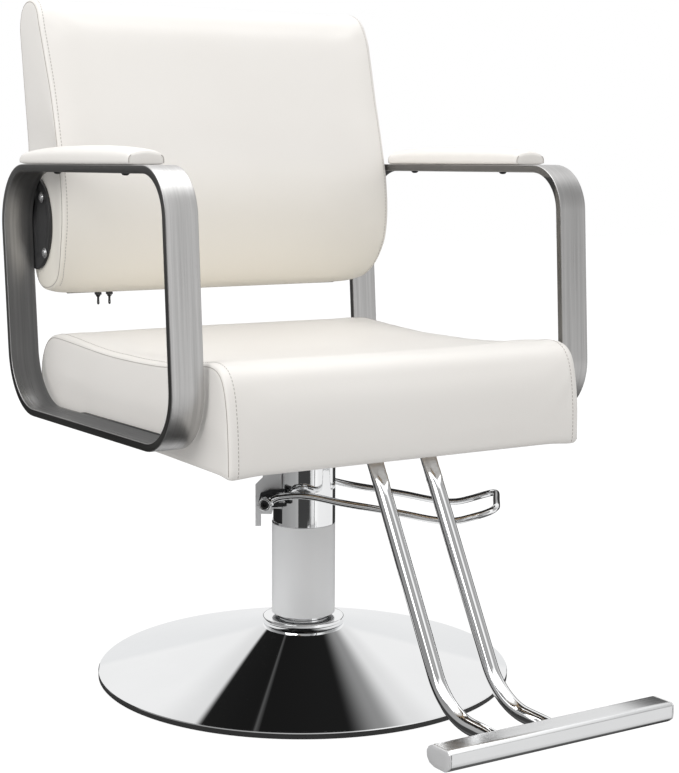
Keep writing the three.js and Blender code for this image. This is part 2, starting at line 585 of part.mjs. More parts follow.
function footrest() {
  const screwY = -556;
  const bar = pull(BAR, 'x', -BAR_HALF + 2.8, BAR_HALF - 2.8, inset(BAR, 2.4).map(([y, z]) => [y, z]));
  const bores = SIDES.map(([, s]) => rod([s * TUBE_X, screwY, 50], [s * TUBE_X, screwY, 80], 2.6 + GAP, 12));
  add('foot_bar', 'satin', cut(bar, ...bores));
  SIDES.forEach(([side, s], i) => {
    const x = s * TUBE_X;
    const clampHole = rod([x, -187, 340], [x, -187, 370], 3 + GAP, 12);
    add(`foot_tube_${side}`, 'chrome', cut(footTube(s), bores[i], clampHole));
    add(`foot_bar_cap_${side}`, 'satin', onSide(pull(BAR, 'x', BAR_HALF - 2.5, BAR_HALF), s));
    const head = rod([x, screwY, 61.2], [x, screwY, 64.3], 4.6, 14);
    add(`foot_bar_screw_${side}`, 'dark', join(head, rod([x, screwY, 63], [x, screwY, 84], 2.6, 12)));
  });
  add('foot_clamp_plate', 'dark', cut(
    box([-72, 72], [-212, -162], [350, 353.8]),
    ...SIDES.map(([, s]) => rod([s * TUBE_X, -187, 340], [s * TUBE_X, -187, 370], 3 + GAP, 12)),
  ));
}

base();
lift();
pumpColumn();
footLever();
seat();
arms();
back();
zip();
footrest();

export default group;
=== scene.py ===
import json
import math

import bmesh
import bpy
import numpy as np
from mathutils import Matrix, Vector, noise
from mathutils.bvhtree import BVHTree
from mathutils.kdtree import KDTree

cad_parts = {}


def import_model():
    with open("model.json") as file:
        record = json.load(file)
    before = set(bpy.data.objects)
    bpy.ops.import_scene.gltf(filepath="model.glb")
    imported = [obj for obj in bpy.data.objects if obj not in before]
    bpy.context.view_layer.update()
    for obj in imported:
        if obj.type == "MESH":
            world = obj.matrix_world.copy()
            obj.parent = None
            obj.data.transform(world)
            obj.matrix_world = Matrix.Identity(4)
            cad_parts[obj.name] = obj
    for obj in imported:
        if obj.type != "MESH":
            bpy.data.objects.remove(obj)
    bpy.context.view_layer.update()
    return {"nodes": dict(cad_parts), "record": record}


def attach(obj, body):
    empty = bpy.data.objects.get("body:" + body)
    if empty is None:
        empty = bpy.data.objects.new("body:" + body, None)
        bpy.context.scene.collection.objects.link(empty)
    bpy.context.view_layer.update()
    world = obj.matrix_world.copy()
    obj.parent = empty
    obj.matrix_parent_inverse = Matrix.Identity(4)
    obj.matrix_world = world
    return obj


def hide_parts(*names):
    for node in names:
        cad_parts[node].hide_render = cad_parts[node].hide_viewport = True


# Looks of a hair-salon styling chair. +Z is up, -Y the chair's front and +X the sitter's left; the origin is
# on the floor under the base. Shapes are written in millimetres and stored in metres.
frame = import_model()
MM = 0.001
SIDES = (("r", -1), ("l", 1))
COLUMN = Matrix.Rotation(math.radians(-36.5), 4, "Z")  # the column's own X runs along the foot lever
VIEW = math.radians(-31.467)  # the camera's turn about the chair
BODIES = {name: body for body, names in frame["record"]["behaviour"]["bodies"].items() for name in names}


# ---- outlines --------------------------------------------------------------------------------
def rounded(corners, steps=8):
    """A closed polygon of [a, b, radius] corners with its corners rounded."""
    out = []
    for i, corner in enumerate(corners):
        here = np.array(corner[:2], float)
        radius = corner[2] if len(corner) > 2 else 0
        before, after = (np.array(corners[(i + d) % len(corners)][:2], float) - here for d in (-1, 1))
        before, after = before / np.linalg.norm(before), after / np.linalg.norm(after)
        if not radius:
            out.append(tuple(here))
            continue
        half = math.acos(np.clip(before @ after, -1, 1)) / 2
        middle = before + after
        centre = here + middle / np.linalg.norm(middle) * radius / math.sin(half)
        start, end = (here + d * radius / math.tan(half) - centre for d in (before, after))
        turn = math.atan2(start[0] * end[1] - start[1] * end[0], start @ end)
        for k in range(steps + 1):
            c, s = math.cos(turn * k / steps), math.sin(turn * k / steps)
            out.append((centre[0] + c * start[0] - s * start[1], centre[1] + s * start[0] + c * start[1]))
    return out


def inset(corners, by):
    """Moves each side of a counter-clockwise polygon inwards by that much; radii shrink with it."""
    out = []
    for i, corner in enumerate(corners):
        here = np.array(corner[:2], float)
        before, after = (np.array(corners[(i + d) % len(corners)][:2], float) - here for d in (-1, 1))
        before, after = before / np.linalg.norm(before), after / np.linalg.norm(after)
        half = math.acos(np.clip(before @ after, -1, 1)) / 2
        middle = (before + after) / np.linalg.norm(before + after)
        side = 1 if before[0] * after[1] - before[1] * after[0] < 0 else -1
        here = here + middle * side * by / math.sin(half)
        out.append((here[0], here[1], max((corner[2] if len(corner) > 2 else 0) - by, 0)))
    return out


def spline(points, closed=False, per=12):
    """A Catmull-Rom curve through points, as a dense array."""
    p = np.array(points, float)
    n = len(p)
    out = []
    for i in range(n if closed else n - 1):
        a, b, c, d = (p[(i + k) % n] if closed else p[min(max(i + k, 0), n - 1)] for k in (-1, 0, 1, 2))
        length = np.linalg.norm(c - b)
        m1 = (c - a) / max(np.linalg.norm(c - a), 1e-9) * length
        m2 = (d - b) / max(np.linalg.norm(d - b), 1e-9) * length
        for t in np.arange(per) / per:
            h = (2 * t**3 - 3 * t**2 + 1, t**3 - 2 * t**2 + t, -2 * t**3 + 3 * t**2, t**3 - t**2)
            out.append(h[0] * b + h[1] * m1 + h[2] * c + h[3] * m2)
    if not closed:
        out.append(p[-1])
    return np.array(out)


def evenly(line, count):
    """count + 1 points at equal steps along a dense line, ends included."""
    steps = np.r_[0, np.cumsum(np.linalg.norm(np.diff(line, axis=0), axis=1))]
    at = np.linspace(0, steps[-1], count + 1)
    return np.stack([np.interp(at, steps, line[:, k]) for k in range(line.shape[1])], 1)


def lerp_table(table, u):
    return float(np.interp(u, [a for a, _ in table], [b for _, b in table]))


def smoothstep(x, low, high):
    t = np.clip((x - low) / (high - low), 0, 1)
    return t * t * (3 - 2 * t)


# ---- materials -------------------------------------------------------------------------------
def node(tree, kind, inputs=None, **settings):
    made = tree.nodes.new(kind)
    for key, value in settings.items():
        setattr(made, key, value)
    for key, value in (inputs or {}).items():
        if isinstance(value, bpy.types.NodeSocket):
            tree.links.new(value, made.inputs[key])
        else:
            made.inputs[key].default_value = value
    return made


def remap(tree, value, low, high, to_low=0.0, to_high=1.0):
    return node(tree, "ShaderNodeMapRange", {
        "Value": value, "From Min": low, "From Max": high, "To Min": to_low, "To Max": to_high}).outputs[0]


def blend(tree, share, first, second, **settings):
    inputs = {0: share, 6: first, 7: second}
    return node(tree, "ShaderNodeMix", inputs, data_type="RGBA", **settings).outputs[2]


def maths(tree, operation, first, second):
    return node(tree, "ShaderNodeMath", {0: first, 1: second}, operation=operation).outputs[0]


def recolour(tree, share, tone, **settings):
    """Blends another tone over a finish's own colour."""
    colour = tree.nodes["Principled BSDF"].inputs["Base Color"]
    tree.links.new(blend(tree, share, colour.links[0].from_socket, tone, **settings), colour)


def roughen(tree, over, height, strength, depth):
    """Adds a relief below another one."""
    made = node(tree, "ShaderNodeBump", {"Strength": strength, "Distance": depth, "Height": height})
    tree.links.new(made.outputs[0], over.inputs["Normal"])
    return made


def finish(name, dark, light, rough, metal=0.0, patch=7.0, grain=(500, 500, 500), bump=0.1, depth=0.0002,
           coordinates="Object", **constant):
    """A procedural finish: cloudy colour from dark to light, uneven roughness and a fine relief."""
    material = bpy.data.materials.new(name)
    material.use_nodes = True
    tree = material.node_tree
    shader = tree.nodes["Principled BSDF"]
    where = node(tree, "ShaderNodeTexCoord").outputs[coordinates]
    clouds = node(tree, "ShaderNodeTexNoise", {"Vector": where, "Scale": patch, "Detail": 4.0}).outputs[0]
    stretched = node(tree, "ShaderNodeMapping", {"Vector": where, "Scale": grain}).outputs[0]
    fine = node(tree, "ShaderNodeTexNoise", {"Vector": stretched, "Scale": 1.0, "Detail": 4.0}).outputs[0]
    uneven = maths(tree, "MULTIPLY", maths(tree, "ADD", clouds, fine), 0.5)
    tree.links.new(blend(tree, clouds, (*dark, 1), (*light, 1)), shader.inputs["Base Color"])
    tree.links.new(remap(tree, uneven, 0.3, 0.7, *rough), shader.inputs["Roughness"])
    relief = roughen(tree, shader, fine, bump, depth)
    for key, value in {"Metallic": metal, **constant}.items():
        shader.inputs[key.replace("_", " ")].default_value = value
    return material, tree, relief, where


def leather():
    """Ivory faux leather: pebbled grain, faint creases and a creamier tone towards the foot of the back,
    which is painted warm bounce light from the seat.
    """
    material, tree, relief, where = finish(
        "ivory_leather", (0.845, 0.815, 0.775), (0.885, 0.862, 0.828), (0.38, 0.5), patch=5.0,
        grain=(260, 260, 260), bump=0.12, depth=0.0003, Sheen_Weight=0.12)
    # Painted warm bounce light from the seat: a creamier tone, full at 0.53 m, gone by 0.73 m, and only above
    # the seat.
    height = node(tree, "ShaderNodeSeparateXYZ", {"Vector": where}).outputs[2]
    above_seat = maths(tree, "GREATER_THAN", height, 0.5)
    painted_seat_bounce = maths(tree, "MULTIPLY", remap(tree, height, 0.73, 0.53), above_seat)
    recolour(tree, painted_seat_bounce, (0.91, 0.865, 0.765, 1))
    pebble = node(tree, "ShaderNodeTexVoronoi", {"Vector": where, "Scale": 620.0}, feature="SMOOTH_F1")
    crease = node(tree, "ShaderNodeTexNoise", {
        "Vector": where, "Scale": 26.0, "Detail": 6.0, "Distortion": 0.6})
    roughen(tree, roughen(tree, relief, pebble.outputs[0], 0.16, 0.00025), crease.outputs[0], 0.1, 0.0015)
    return material


def woven():
    """Black spun cloth: two crossed sets of threads."""
    material, tree, relief, where = finish(
        "black_woven", (0.012, 0.012, 0.013), (0.03, 0.03, 0.032), (0.8, 0.95), patch=30.0, bump=0.2)
    waves = [node(tree, "ShaderNodeTexWave", {"Vector": where, "Scale": 520.0, "Distortion": 0.4},
                  bands_direction=axis).outputs[1] for axis in "XY"]
    roughen(tree, relief, maths(tree, "MULTIPLY", *waves), 0.6, 0.0003)
    return material


def plywood():
    """Raw birch plywood: long grain lines."""
    material, tree, relief, where = finish("plywood", (0.5, 0.34, 0.19), (0.72, 0.55, 0.36), (0.55, 0.75),
                                           patch=4.0, grain=(8, 260, 60), bump=0.3)
    rings = node(tree, "ShaderNodeTexWave", {
        "Vector": where, "Scale": 14.0, "Distortion": 6.0, "Detail": 3.0}, bands_direction="Y")
    roughen(tree, relief, rings.outputs[1], 0.2, 0.0004)
    return material


def brushed(name, tone):
    """Stainless bar, brushed along its length; the texture's first axis runs along the bar."""
    material, tree, _, where = finish(
        name, [0.9 * c for c in tone], [1.15 * c for c in tone], (0.24, 0.38), metal=1.0, patch=6.0,
        grain=(7, 900, 1), bump=0.22, depth=0.00012, coordinates="UV", Anisotropic=0.65)
    tangent = node(tree, "ShaderNodeTangent", direction_type="UV_MAP", uv_map="along")
    tree.links.new(tangent.outputs[0], tree.nodes["Principled BSDF"].inputs["Tangent"])
    drawn = node(tree, "ShaderNodeMapping", {"Vector": where, "Scale": (2.2, 150, 1)}).outputs[0]
    streaks = node(tree, "ShaderNodeTexNoise", {
        "Vector": drawn, "Scale": 1.0, "Detail": 6.0, "Roughness": 0.7})
    recolour(tree, 1.0, remap(tree, streaks.outputs[0], 0.3, 0.7, 0.78, 1.18), blend_type="MULTIPLY")
    return material


MIRROR = finish("mirror_chrome", (0.86, 0.865, 0.87), (0.93, 0.935, 0.94), (0.03, 0.075), metal=1.0,
                patch=9.0, grain=(60, 60, 60), bump=0.012, depth=0.0002)[0]
SATIN = finish("satin_sleeve", (0.9, 0.905, 0.91), (0.95, 0.955, 0.96), (0.36, 0.44), metal=0.0, patch=14.0,
               grain=(90, 90, 900), bump=0.1, depth=0.0001)[0]
BRACKET = finish("grey_bracket", (0.7, 0.705, 0.71), (0.8, 0.805, 0.81), (0.3, 0.42), metal=0.2, patch=25.0,
                 grain=(700, 700, 700), bump=0.15)[0]
BAR = finish("satin_bar", (0.73, 0.735, 0.74), (0.81, 0.815, 0.82), (0.16, 0.26), metal=1.0, patch=12.0,
             grain=(6, 700, 700), bump=0.1, depth=0.0001)[0]
CAP = finish("satin_cap", (0.7, 0.7, 0.705), (0.78, 0.78, 0.785), (0.3, 0.4), metal=0.3, patch=30.0,
             grain=(700, 700, 60), bump=0.12, depth=0.0001)[0]
BRIGHT = finish("bright_zinc", (0.62, 0.62, 0.62), (0.78, 0.78, 0.79), (0.18, 0.32), metal=1.0, patch=90.0,
                grain=(900, 900, 900), bump=0.15)[0]
DARK = finish("dark_steel", (0.018, 0.018, 0.019), (0.045, 0.045, 0.047), (0.3, 0.5), metal=0.5, patch=40.0,
              grain=(900, 900, 900), bump=0.2)[0]
PAINT = finish("black_powder_coat", (0.016, 0.016, 0.017), (0.032, 0.032, 0.034), (0.26, 0.4), patch=18.0,
               grain=(1400, 1400, 1400), bump=0.35, depth=0.0003, Specular_IOR_Level=0.6)[0]
RUBBER = finish("edge_rubber", (0.012, 0.012, 0.012), (0.03, 0.03, 0.03), (0.55, 0.8), patch=20.0,
                bump=0.3)[0]
PLASTIC = finish("black_plastic", (0.02, 0.02, 0.021), (0.04, 0.04, 0.042), (0.4, 0.55), patch=30.0,
                 bump=0.25)[0]
# Thread colour, darker than the leather: it is used for the stitches, and for the sunk seam threads, where it
# paints the shade in the seam grooves.
THREAD_AND_SEAM_SHADE = finish("thread_and_painted_seam_shade", (0.4, 0.37, 0.34), (0.5, 0.47, 0.44), (0.6, 0.8), patch=200.0,
                grain=(1500, 1500, 1500), bump=0.4, Sheen_Weight=0.3)[0]
LEATHER, WOVEN, PLYWOOD = leather(), woven(), plywood()
# The second finish is a darker copy of the first, for the bars' narrow faces: painted shade.
BRUSHED, EDGE = brushed("brushed_bar", (0.48, 0.475, 0.47)), brushed("painted_shade_bar_edge", (0.19, 0.187, 0.183))


# ---- making pieces ---------------------------------------------------------------------------
def at(x, y, z):
    return Matrix.Translation(Vector((x, y, z)) * MM)


def facing(axis):
    """Turns +Z to an axis."""
    return Vector(axis).to_track_quat("Z", "Y").to_matrix().to_4x4()


def piece(mesh, material, node_name, sharp=None, weighted=False, extra=False):
    """Links a mesh as a piece: it stands for a CAD node, or is an extra on that node's body."""
    mesh.materials.clear()
    mesh.materials.append(material)
    mesh.shade_smooth()
    if sharp:
        mesh.set_sharp_from_angle(angle=math.radians(sharp))
    made = bpy.data.objects.new(mesh.name, mesh)
    bpy.context.scene.collection.objects.link(made)
    if weighted:
        made.modifiers.new("normals", "WEIGHTED_NORMAL").keep_sharp = True
    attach(made, BODIES[node_name])
    if not extra:
        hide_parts(node_name)
    return made


def to_mesh(name, points, faces, matrix=None):
    """A mesh from points in millimetres, its faces turned outwards."""
    mesh = bpy.data.meshes.new(name)
    mesh.from_pydata([tuple(MM * c for c in p) for p in points], [], faces)
    if matrix:
        mesh.transform(matrix)
    bm = bmesh.new()
    bm.from_mesh(mesh)
    bmesh.ops.recalc_face_normals(bm, faces=bm.faces)
    bm.to_mesh(mesh)
    bm.free()
    return mesh


def ring_faces(rows, n, closed_rows=False):
    """Quads between consecutive rings of n points each."""
    faces = []
    for r in range(rows if closed_rows else rows - 1):
        s = (r + 1) % rows
        faces += [(r * n + k, r * n + (k + 1) % n, s * n + (k + 1) % n, s * n + k) for k in range(n)]
    return faces


def lathe(name, corners, segments=144, matrix=None, steps=5):
    """A closed profile of [radius, height, corner radius] turned about +Z."""
    profile = rounded(corners, steps)
    turns = [2 * math.pi * k / segments for k in range(segments)]
    points = [(r * math.cos(t), r * math.sin(t), z) for t in turns for r, z in profile]
    return to_mesh(name, points, ring_faces(segments, len(profile), True), matrix)


def skin(name, rings, matrix=None):
    """Rings of equal length skinned into one piece, closed by a fan at each end."""
    n = len(rings[0])
    points = [tuple(p) for ring in rings for p in ring]
    faces = ring_faces(len(rings), n)
    for first in (0, (len(rings) - 1) * n):
        points.append(tuple(np.mean(points[first:first + n], axis=0)))
        faces += [(first + k, first + (k + 1) % n, len(points) - 1) for k in range(n)]
    return to_mesh(name, points, faces, matrix)


def detail(node_name, material, bevel, hard_angle=35):
    """A finer piece from a CAD node: facets merged, hard edges rounded off."""
    bm = bmesh.new()
    bm.from_mesh(frame["nodes"][node_name].data)
    bmesh.ops.remove_doubles(bm, verts=bm.verts, dist=3e-6)
    bmesh.ops.dissolve_limit(bm, angle_limit=math.radians(0.6), verts=bm.verts, edges=bm.edges)
    hard = [e for e in bm.edges if len(e.link_faces) == 2 and e.calc_face_angle() > math.radians(hard_angle)]
    bmesh.ops.bevel(bm, geom=hard, offset=bevel * MM, segments=2, profile=0.5, affect="EDGES",
                    clamp_overlap=True)
    mesh = bpy.data.meshes.new(node_name + "_fine")
    bm.to_mesh(mesh)
    bm.free()
    piece(mesh, material, node_name, sharp=50, weighted=True)


def details():
    for material, bevel, names in (
            (DARK, 0.8, "base_weight_plate"), (PLASTIC, 0.3, "guide_bush thrust_washer"),
            (MIRROR, 0.4, "piston_rod"), (MIRROR, 0.35, "pump_head"), (BRACKET, 0.4, "lever_bracket"),
            (DARK, 0.5, "seat_mount_plate foot_clamp_plate lever_fork"), (PLYWOOD, 0.8, "seat_board"),
            (WOVEN, 0.1, "seat_dust_cover zip_tape"), (DARK, 0.4, "pump_block arm_spacer_r arm_spacer_l"),
            (DARK, 0.4, "mount_bolt_1 mount_bolt_2 mount_bolt_3 mount_bolt_4"),
            (DARK, 0.3, "lever_end_screw_r lever_end_screw_l"),
            (BRIGHT, 0.3, "arm_stud_r_1 arm_stud_r_2 arm_stud_l_1 arm_stud_l_2"),
            (PAINT, 0.2, "zip_slider_r zip_slider_l zip_pull_r zip_pull_l")):
        for name in names.split():
            detail(name, material, bevel)


# ---- base and column ---------------------------------------------------------------------------
def base_and_column():
    piece(lathe("base_dome", [
        [40, 70.3, 0], [55, 70.3, 2], [172, 39.6, 900], [284, 11.4, 12], [288.6, 10.2, 1.5], [290, 9, 0.9],
        [290, 7.2, 0.3], [285, 7.2, 0.3], [172, 36, 0], [56, 67.1, 0], [40, 67.1, 0]], 256, steps=10),
        MIRROR, "base_disc", sharp=40)
    piece(lathe("edge_trim", [
        [272, 0, 0], [288.5, 0, 0.8], [290, 1.6, 0.8], [290, 7, 0.6], [272, 7, 0]], 256),
        RUBBER, "base_edge_trim", sharp=40)
    piece(lathe("collar_ring", [
        [36.2, 70.6, 0], [57.3, 70.6, 0.8], [57.3, 80.1, 1.4], [37.4, 80.1, 1], [36.2, 79, 0]], 160),
        MIRROR, "base_collar", sharp=40)
    piece(lathe("inner_tube", [
        [31.5, 8.3, 0], [62, 8.3, 0], [62, 15, 0.5], [35.5, 15, 0], [35.5, 300, 0.5], [31.5, 300, 0.5]], 128),
        MIRROR, "guide_tube", sharp=40)
    piece(lathe("sleeve", [[40, 85.4, 0.6], [44.7, 85.4, 0.9], [44.7, 214.9, 0.4], [40, 214.9, 0.4]], 160,
                COLUMN), SATIN, "pump_sleeve", sharp=40)


def tube(points, radius, n=20):
    """Rings of a round rod along a dense line; each ring stands across the line."""
    rings = []
    points = np.array(points, float)
    along = np.gradient(points, axis=0)
    along /= np.linalg.norm(along, axis=1)[:, None]
    side = np.cross(along[0], (0, 0, 1.0))
    for p, t in zip(points, along):
        side = side - t * (side @ t)
        side /= np.linalg.norm(side)
        up = np.cross(side, t)
        rings.append([p + radius * (math.cos(a) * side + math.sin(a) * up)
                      for a in (2 * math.pi * k / n for k in range(n))])
    return rings


def foot_lever():
    """The U-shaped lever, its pivot tube and the weld beads between them, placed along the column's own X."""
    half = 73.3  # from the middle to each leg
    leg = [(-40, 256.9), (-28, 261), (-13, 263.8), (2, 265), (14, 264.4), (26, 262.7), (60, 256), (100, 250),
           (140, 243.8), (172, 238), (190, 235.4), (204, 234.4), (218, 235.6), (236, 240.4), (253, 245.8),
           (263.5, 249.6), (269, 251.6)]
    drawn_in = [0] * (len(leg) - 2) + [4.5, 16]
    near = [(t, d - half, z) for (t, z), d in zip(leg, drawn_in)]
    points = near + [(270.5, y, 252) for y in (-50, 0, 50)] + [(t, -y, z) for t, y, z in reversed(near)]
    points = [(t, y, z + (0.7 - 0.028 * y if t > -37 else 0)) for t, y, z in points]
    piece(skin("lever_rod", tube(spline(points, per=6), 4.8), COLUMN), MIRROR, "pump_lever")
    hub = lathe("lever_hub", [[6, -78.1, 0.5], [9, -78.1, 1], [9, 78.1, 1], [6, 78.1, 0.5]], 48,
                COLUMN @ at(-45, 0, 254.5) @ Matrix.Rotation(math.radians(90), 4, "X"))
    piece(hub, MIRROR, "pump_lever", sharp=50, extra=True)
    for k, y in enumerate((-half, half)):
        bead = lathe(f"weld_bead_{k}", [[4.6, -2.2, 0], [6.6, -1.6, 0.6], [5.6, 1.8, 0.8], [4.6, 2.4, 0]], 32,
                     COLUMN @ at(-36.4, y, 258.2) @ Matrix.Rotation(math.radians(72), 4, "Y"))
        piece(bead, MIRROR, "pump_lever", sharp=60, extra=True)


# ---- arms ----------------------------------------------------------------------------------------
LOOP = [[-237.7, 370.6, 80], [307, 357.2, 92], [335.5, 712.3, 86], [-215.4, 716.6, 64]]
BAR_W, BAR_T, ARM_IN = 43.1, 10.5, 272.0


def loop_top(y):
    return 716.6 + (712.3 - 716.6) * (y + 215.4) / (335.5 + 215.4)


def densify(outline, step):
    """Splits the long straight sides of a closed outline so that no side is longer than step."""
    out = []
    for k, a in enumerate(outline):
        a, b = np.array(a), np.array(outline[(k + 1) % len(outline)])
        n = max(1, int(np.linalg.norm(b - a) // step))
        out += [tuple(a + (b - a) * j / n) for j in range(n)]
    return out


def arm_frame(side, s):
    """A flat bar bent into a loop; its brushed lines follow the bar and meet under the pad. Its two narrow
    faces take a darker copy of the brushed finish, as painted shade.
    """
    outer, inner = rounded(LOOP, 22), rounded(inset(LOOP, BAR_T), 22)
    section = [(1.1, 0), (BAR_W - 1.1, 0), (BAR_W - 0.3, 0.3), (BAR_W, 1.1), (BAR_W, BAR_T - 1.1),
               (BAR_W - 0.3, BAR_T - 0.3), (BAR_W - 1.1, BAR_T), (1.1, BAR_T), (0.3, BAR_T - 0.3),
               (0, BAR_T - 1.1), (0, 1.1), (0.3, 0.3)]
    pairs = []
    for k in range(len(outer)):
        (a, b), (c, d) = [(np.array(o[k]), np.array(o[(k + 1) % len(o)])) for o in (outer, inner)]
        count = max(1, int(np.linalg.norm(b - a) // 25))
        pairs += [(a + (b - a) * j / count, c + (d - c) * j / count) for j in range(count)]
    start = min(range(len(pairs)), key=lambda k: math.dist(pairs[k][0], (60, loop_top(60))))
    pairs = pairs[start:] + pairs[:start]
    rows, n = len(pairs), len(section)
    points = [(s * (ARM_IN + x), *(o + (i - o) * deep / BAR_T)) for o, i in pairs for x, deep in section]
    mesh = to_mesh(f"arm_loop_{side}", points, ring_faces(rows, n, True))
    along, around = ([0, *np.cumsum([math.dist(a, b) * MM for a, b in zip(line, [*line[1:], line[0]])])]
                     for line in ([o for o, _ in pairs], section))
    uv = mesh.uv_layers.new(name="along")
    for face in mesh.polygons:
        last_row, last_side = (size - 1 in {v // step % size for v in face.vertices}
                               for size, step in ((rows, n), (n, 1)))
        for loop, v in zip(face.loop_indices, face.vertices):
            r, c = v // n, v % n
            uv.data[loop].uv = (along[r or last_row * rows], around[c or last_side * n])
    piece(mesh, BRUSHED, f"arm_frame_{side}", weighted=True)
    # Painted shade: the bar's two narrow faces get the darker copy of the brushed finish in place of the dark
    # reflection they would show.
    mesh.materials.append(EDGE)
    for face in mesh.polygons:
        if {v % n for v in face.vertices} in ({3, 4}, {9, 10}):
            face.material_index = 1


def screw_head(name, matrix, radius, height, material, node_name):
    """A domed screw head with a hexagon recess, standing on its seat and facing +Z before the matrix."""
    rows = [(radius * r, z) for r, z in ((1.12, 0.0), (1.16, 0.5), (1.1, 0.9), (1, 0.9), (0.985, 1.3))]
    rows += [(radius * math.cos(a), 1.1 + (height - 1.1) * math.sin(a))
             for a in np.radians(np.arange(18, 70, 9))]
    turns = [2 * math.pi * k / 36 for k in range(36)]
    points = [(r * math.cos(a), r * math.sin(a), z) for r, z in rows for a in turns]
    sixth = math.pi / 3
    for z in (height - 0.1, height - 1.6):
        for a in turns:
            r = radius * 0.36 * math.cos(sixth / 2) / math.cos((a + sixth / 2) % sixth - sixth / 2)
            points.append((r * math.cos(a), r * math.sin(a), z))
    n, count = len(turns), len(rows) + 2
    faces = ring_faces(count, n) + [tuple(range((count - 1) * n, count * n)), tuple(range(n))]
    piece(to_mesh(name, points, faces, matrix), material, node_name, sharp=38)


def pad_screws(side, s):
    for k, y in enumerate((-60, 165)):
        matrix = at(s * (ARM_IN + BAR_W / 2), y, loop_top(y) - BAR_T - 0.1) @ facing((0, 0, -1))
        screw_head(f"pad_screw_{side}_{k}", matrix, 4.6, 3.0, DARK, f"arm_pad_screw_{side}_{k + 1}")


# ---- back brackets -------------------------------------------------------------------------------
BACK_BOLTS = ((282, 665), (274, 586))


def back_bracket(side, s):
    """A pressed plate, D-shaped, with a raised rounded field in its middle, and its two bolts."""
    arc = [(315 + 61 * math.cos(a), 628 + 68 * math.sin(a)) for a in np.radians(np.linspace(90, 270, 49))]
    outline = np.array(densify([(331, 694)] + arc + [(320, 562)], 5))
    centre = np.array((292.0, 627.0))
    inside, out = 266.8, 271.7
    rings = [[(s * x, y, z) for y, z in centre + (outline - centre) * share] for share, x in (
        (0.985, inside), (1.0, inside + 0.5), (1.0, out - 1.3), (0.985, out - 0.6), (0.95, out - 0.45),
        (0.8, out - 0.5), (0.74, out - 1.6), (0.66, out - 2.5), (0.5, out - 2.7), (0.25, out - 2.7))]
    points = [p for ring in rings for p in ring] + [(s * inside, *centre), (s * (out - 2.7), *centre)]
    n = len(outline)
    faces = ring_faces(len(rings), n)
    for first, tip in ((0, len(points) - 2), ((len(rings) - 1) * n, len(points) - 1)):
        faces += [(first + k, first + (k + 1) % n, tip) for k in range(n)]
    piece(to_mesh(f"bracket_{side}", points, faces), PAINT, f"back_bracket_{side}", sharp=60)
    for k, (y, z) in enumerate(BACK_BOLTS):
        washer = lathe(f"washer_{side}_{k}", [[3, 0, 0], [7.6, 0, 0.2], [7.6, 0.7, 0.3], [3, 0.7, 0]], 36,
                       at(s * out, y, z) @ facing((s, 0, 0)))
        piece(washer, BRIGHT, f"back_bolt_{side}_{k + 1}", sharp=40, extra=True)
        screw_head(f"bolt_{side}_{k}", at(s * (out + 0.2), y, z) @ facing((s, 0, 0)), 5.6, 3.6, BRIGHT,
                   f"back_bolt_{side}_{k + 1}")


# ---- footrest ------------------------------------------------------------------------------------
def foot_tube(side, s):
    """A tube pressed flat under the seat, bent down and forwards, and pressed flat again under the bar."""
    slope, up_r, low_r, foot, middle_x = math.radians(59.7), 25.0, 88.0, 63.0, 40.4
    line = [(y, 358.2, 0, 11.6, 3.6, 0) for y in (-132, -180, -226.2)]  # y, z, angle, half sizes, dent
    for k in range(1, 9):
        a = slope * k / 8
        line.append((-226.2 - up_r * math.sin(a), 358.2 - up_r * (1 - math.cos(a)), a, 11.4, 3.7, 0))
    top, low = np.array((-247.8, 345.8)), np.array((-412.9, foot))
    line += [(*(top + (low - top) * u), slope, wide, thick, dent) for u, wide, thick, dent in (
        (0.03, 11.3, 3.9, 0.6), (0.05, 11.2, 4.6, 1.8), (0.065, 11.0, 6.0, 3.2), (0.08, 10.8, 7.6, 3.6),
        (0.095, 10.5, 9.0, 2.8), (0.11, 10.3, 9.8, 1.6), (0.13, 10.2, 10.1, 0.6), (0.15, 10.2, 10.2, 0),
        (0.3, 10.2, 10.2, 0), (0.5, 10.2, 10.2, 0), (0.68, 10.2, 10.2, 0))]
    for k in range(17):
        a = slope * (1 - k / 16)
        line.append((low[0] - low_r * math.tan(slope / 2) + low_r * math.sin(a),
                     foot + low_r * (1 - math.cos(a)), a, 10.2, 10.2, 0))
    line += [(y, z, 0, wide, thick, dent) for y, z, wide, thick, dent in (
        (-495, 63, 10.2, 10.2, 0), (-508, 63, 10.2, 10, 0), (-515, 63.6, 10.4, 8.6, 1.2),
        (-521, 64.8, 10.7, 6.4, 1.4), (-528, 66.2, 10.9, 3.8, 0.6), (-535, 67, 11, 2.5, 0),
        (-550, 67, 11, 2.4, 0), (-565, 67, 11, 2.4, 0))]
    rings = []
    for y, z, angle, wide, thick, dent in line:
        power = 0.45 if thick < 4.2 else 0.6 if thick < 6.5 else 0.8 if thick < 9.3 else 1.0
        ring = []
        for a in (2 * math.pi * k / 32 for k in range(32)):
            across, deep = (math.copysign(abs(v) ** power, v) * half
                            for v, half in ((math.cos(a), wide), (math.sin(a), thick)))
            if math.sin(a) > 0:
                deep -= dent * math.exp(-(across / (0.42 * wide)) ** 2)
            ring.append((s * middle_x + across, y - deep * math.sin(angle), z + deep * math.cos(angle)))
        rings.append(ring)
    piece(skin(f"foot_tube_{side}_fine", rings), MIRROR, f"foot_tube_{side}", sharp=65)
    screw_head(f"bar_screw_{side}", at(s * middle_x, -556, 64.6) @ facing((0, 0, -1)), 4.8, 3.2, BRIGHT,
               f"foot_bar_screw_{side}")


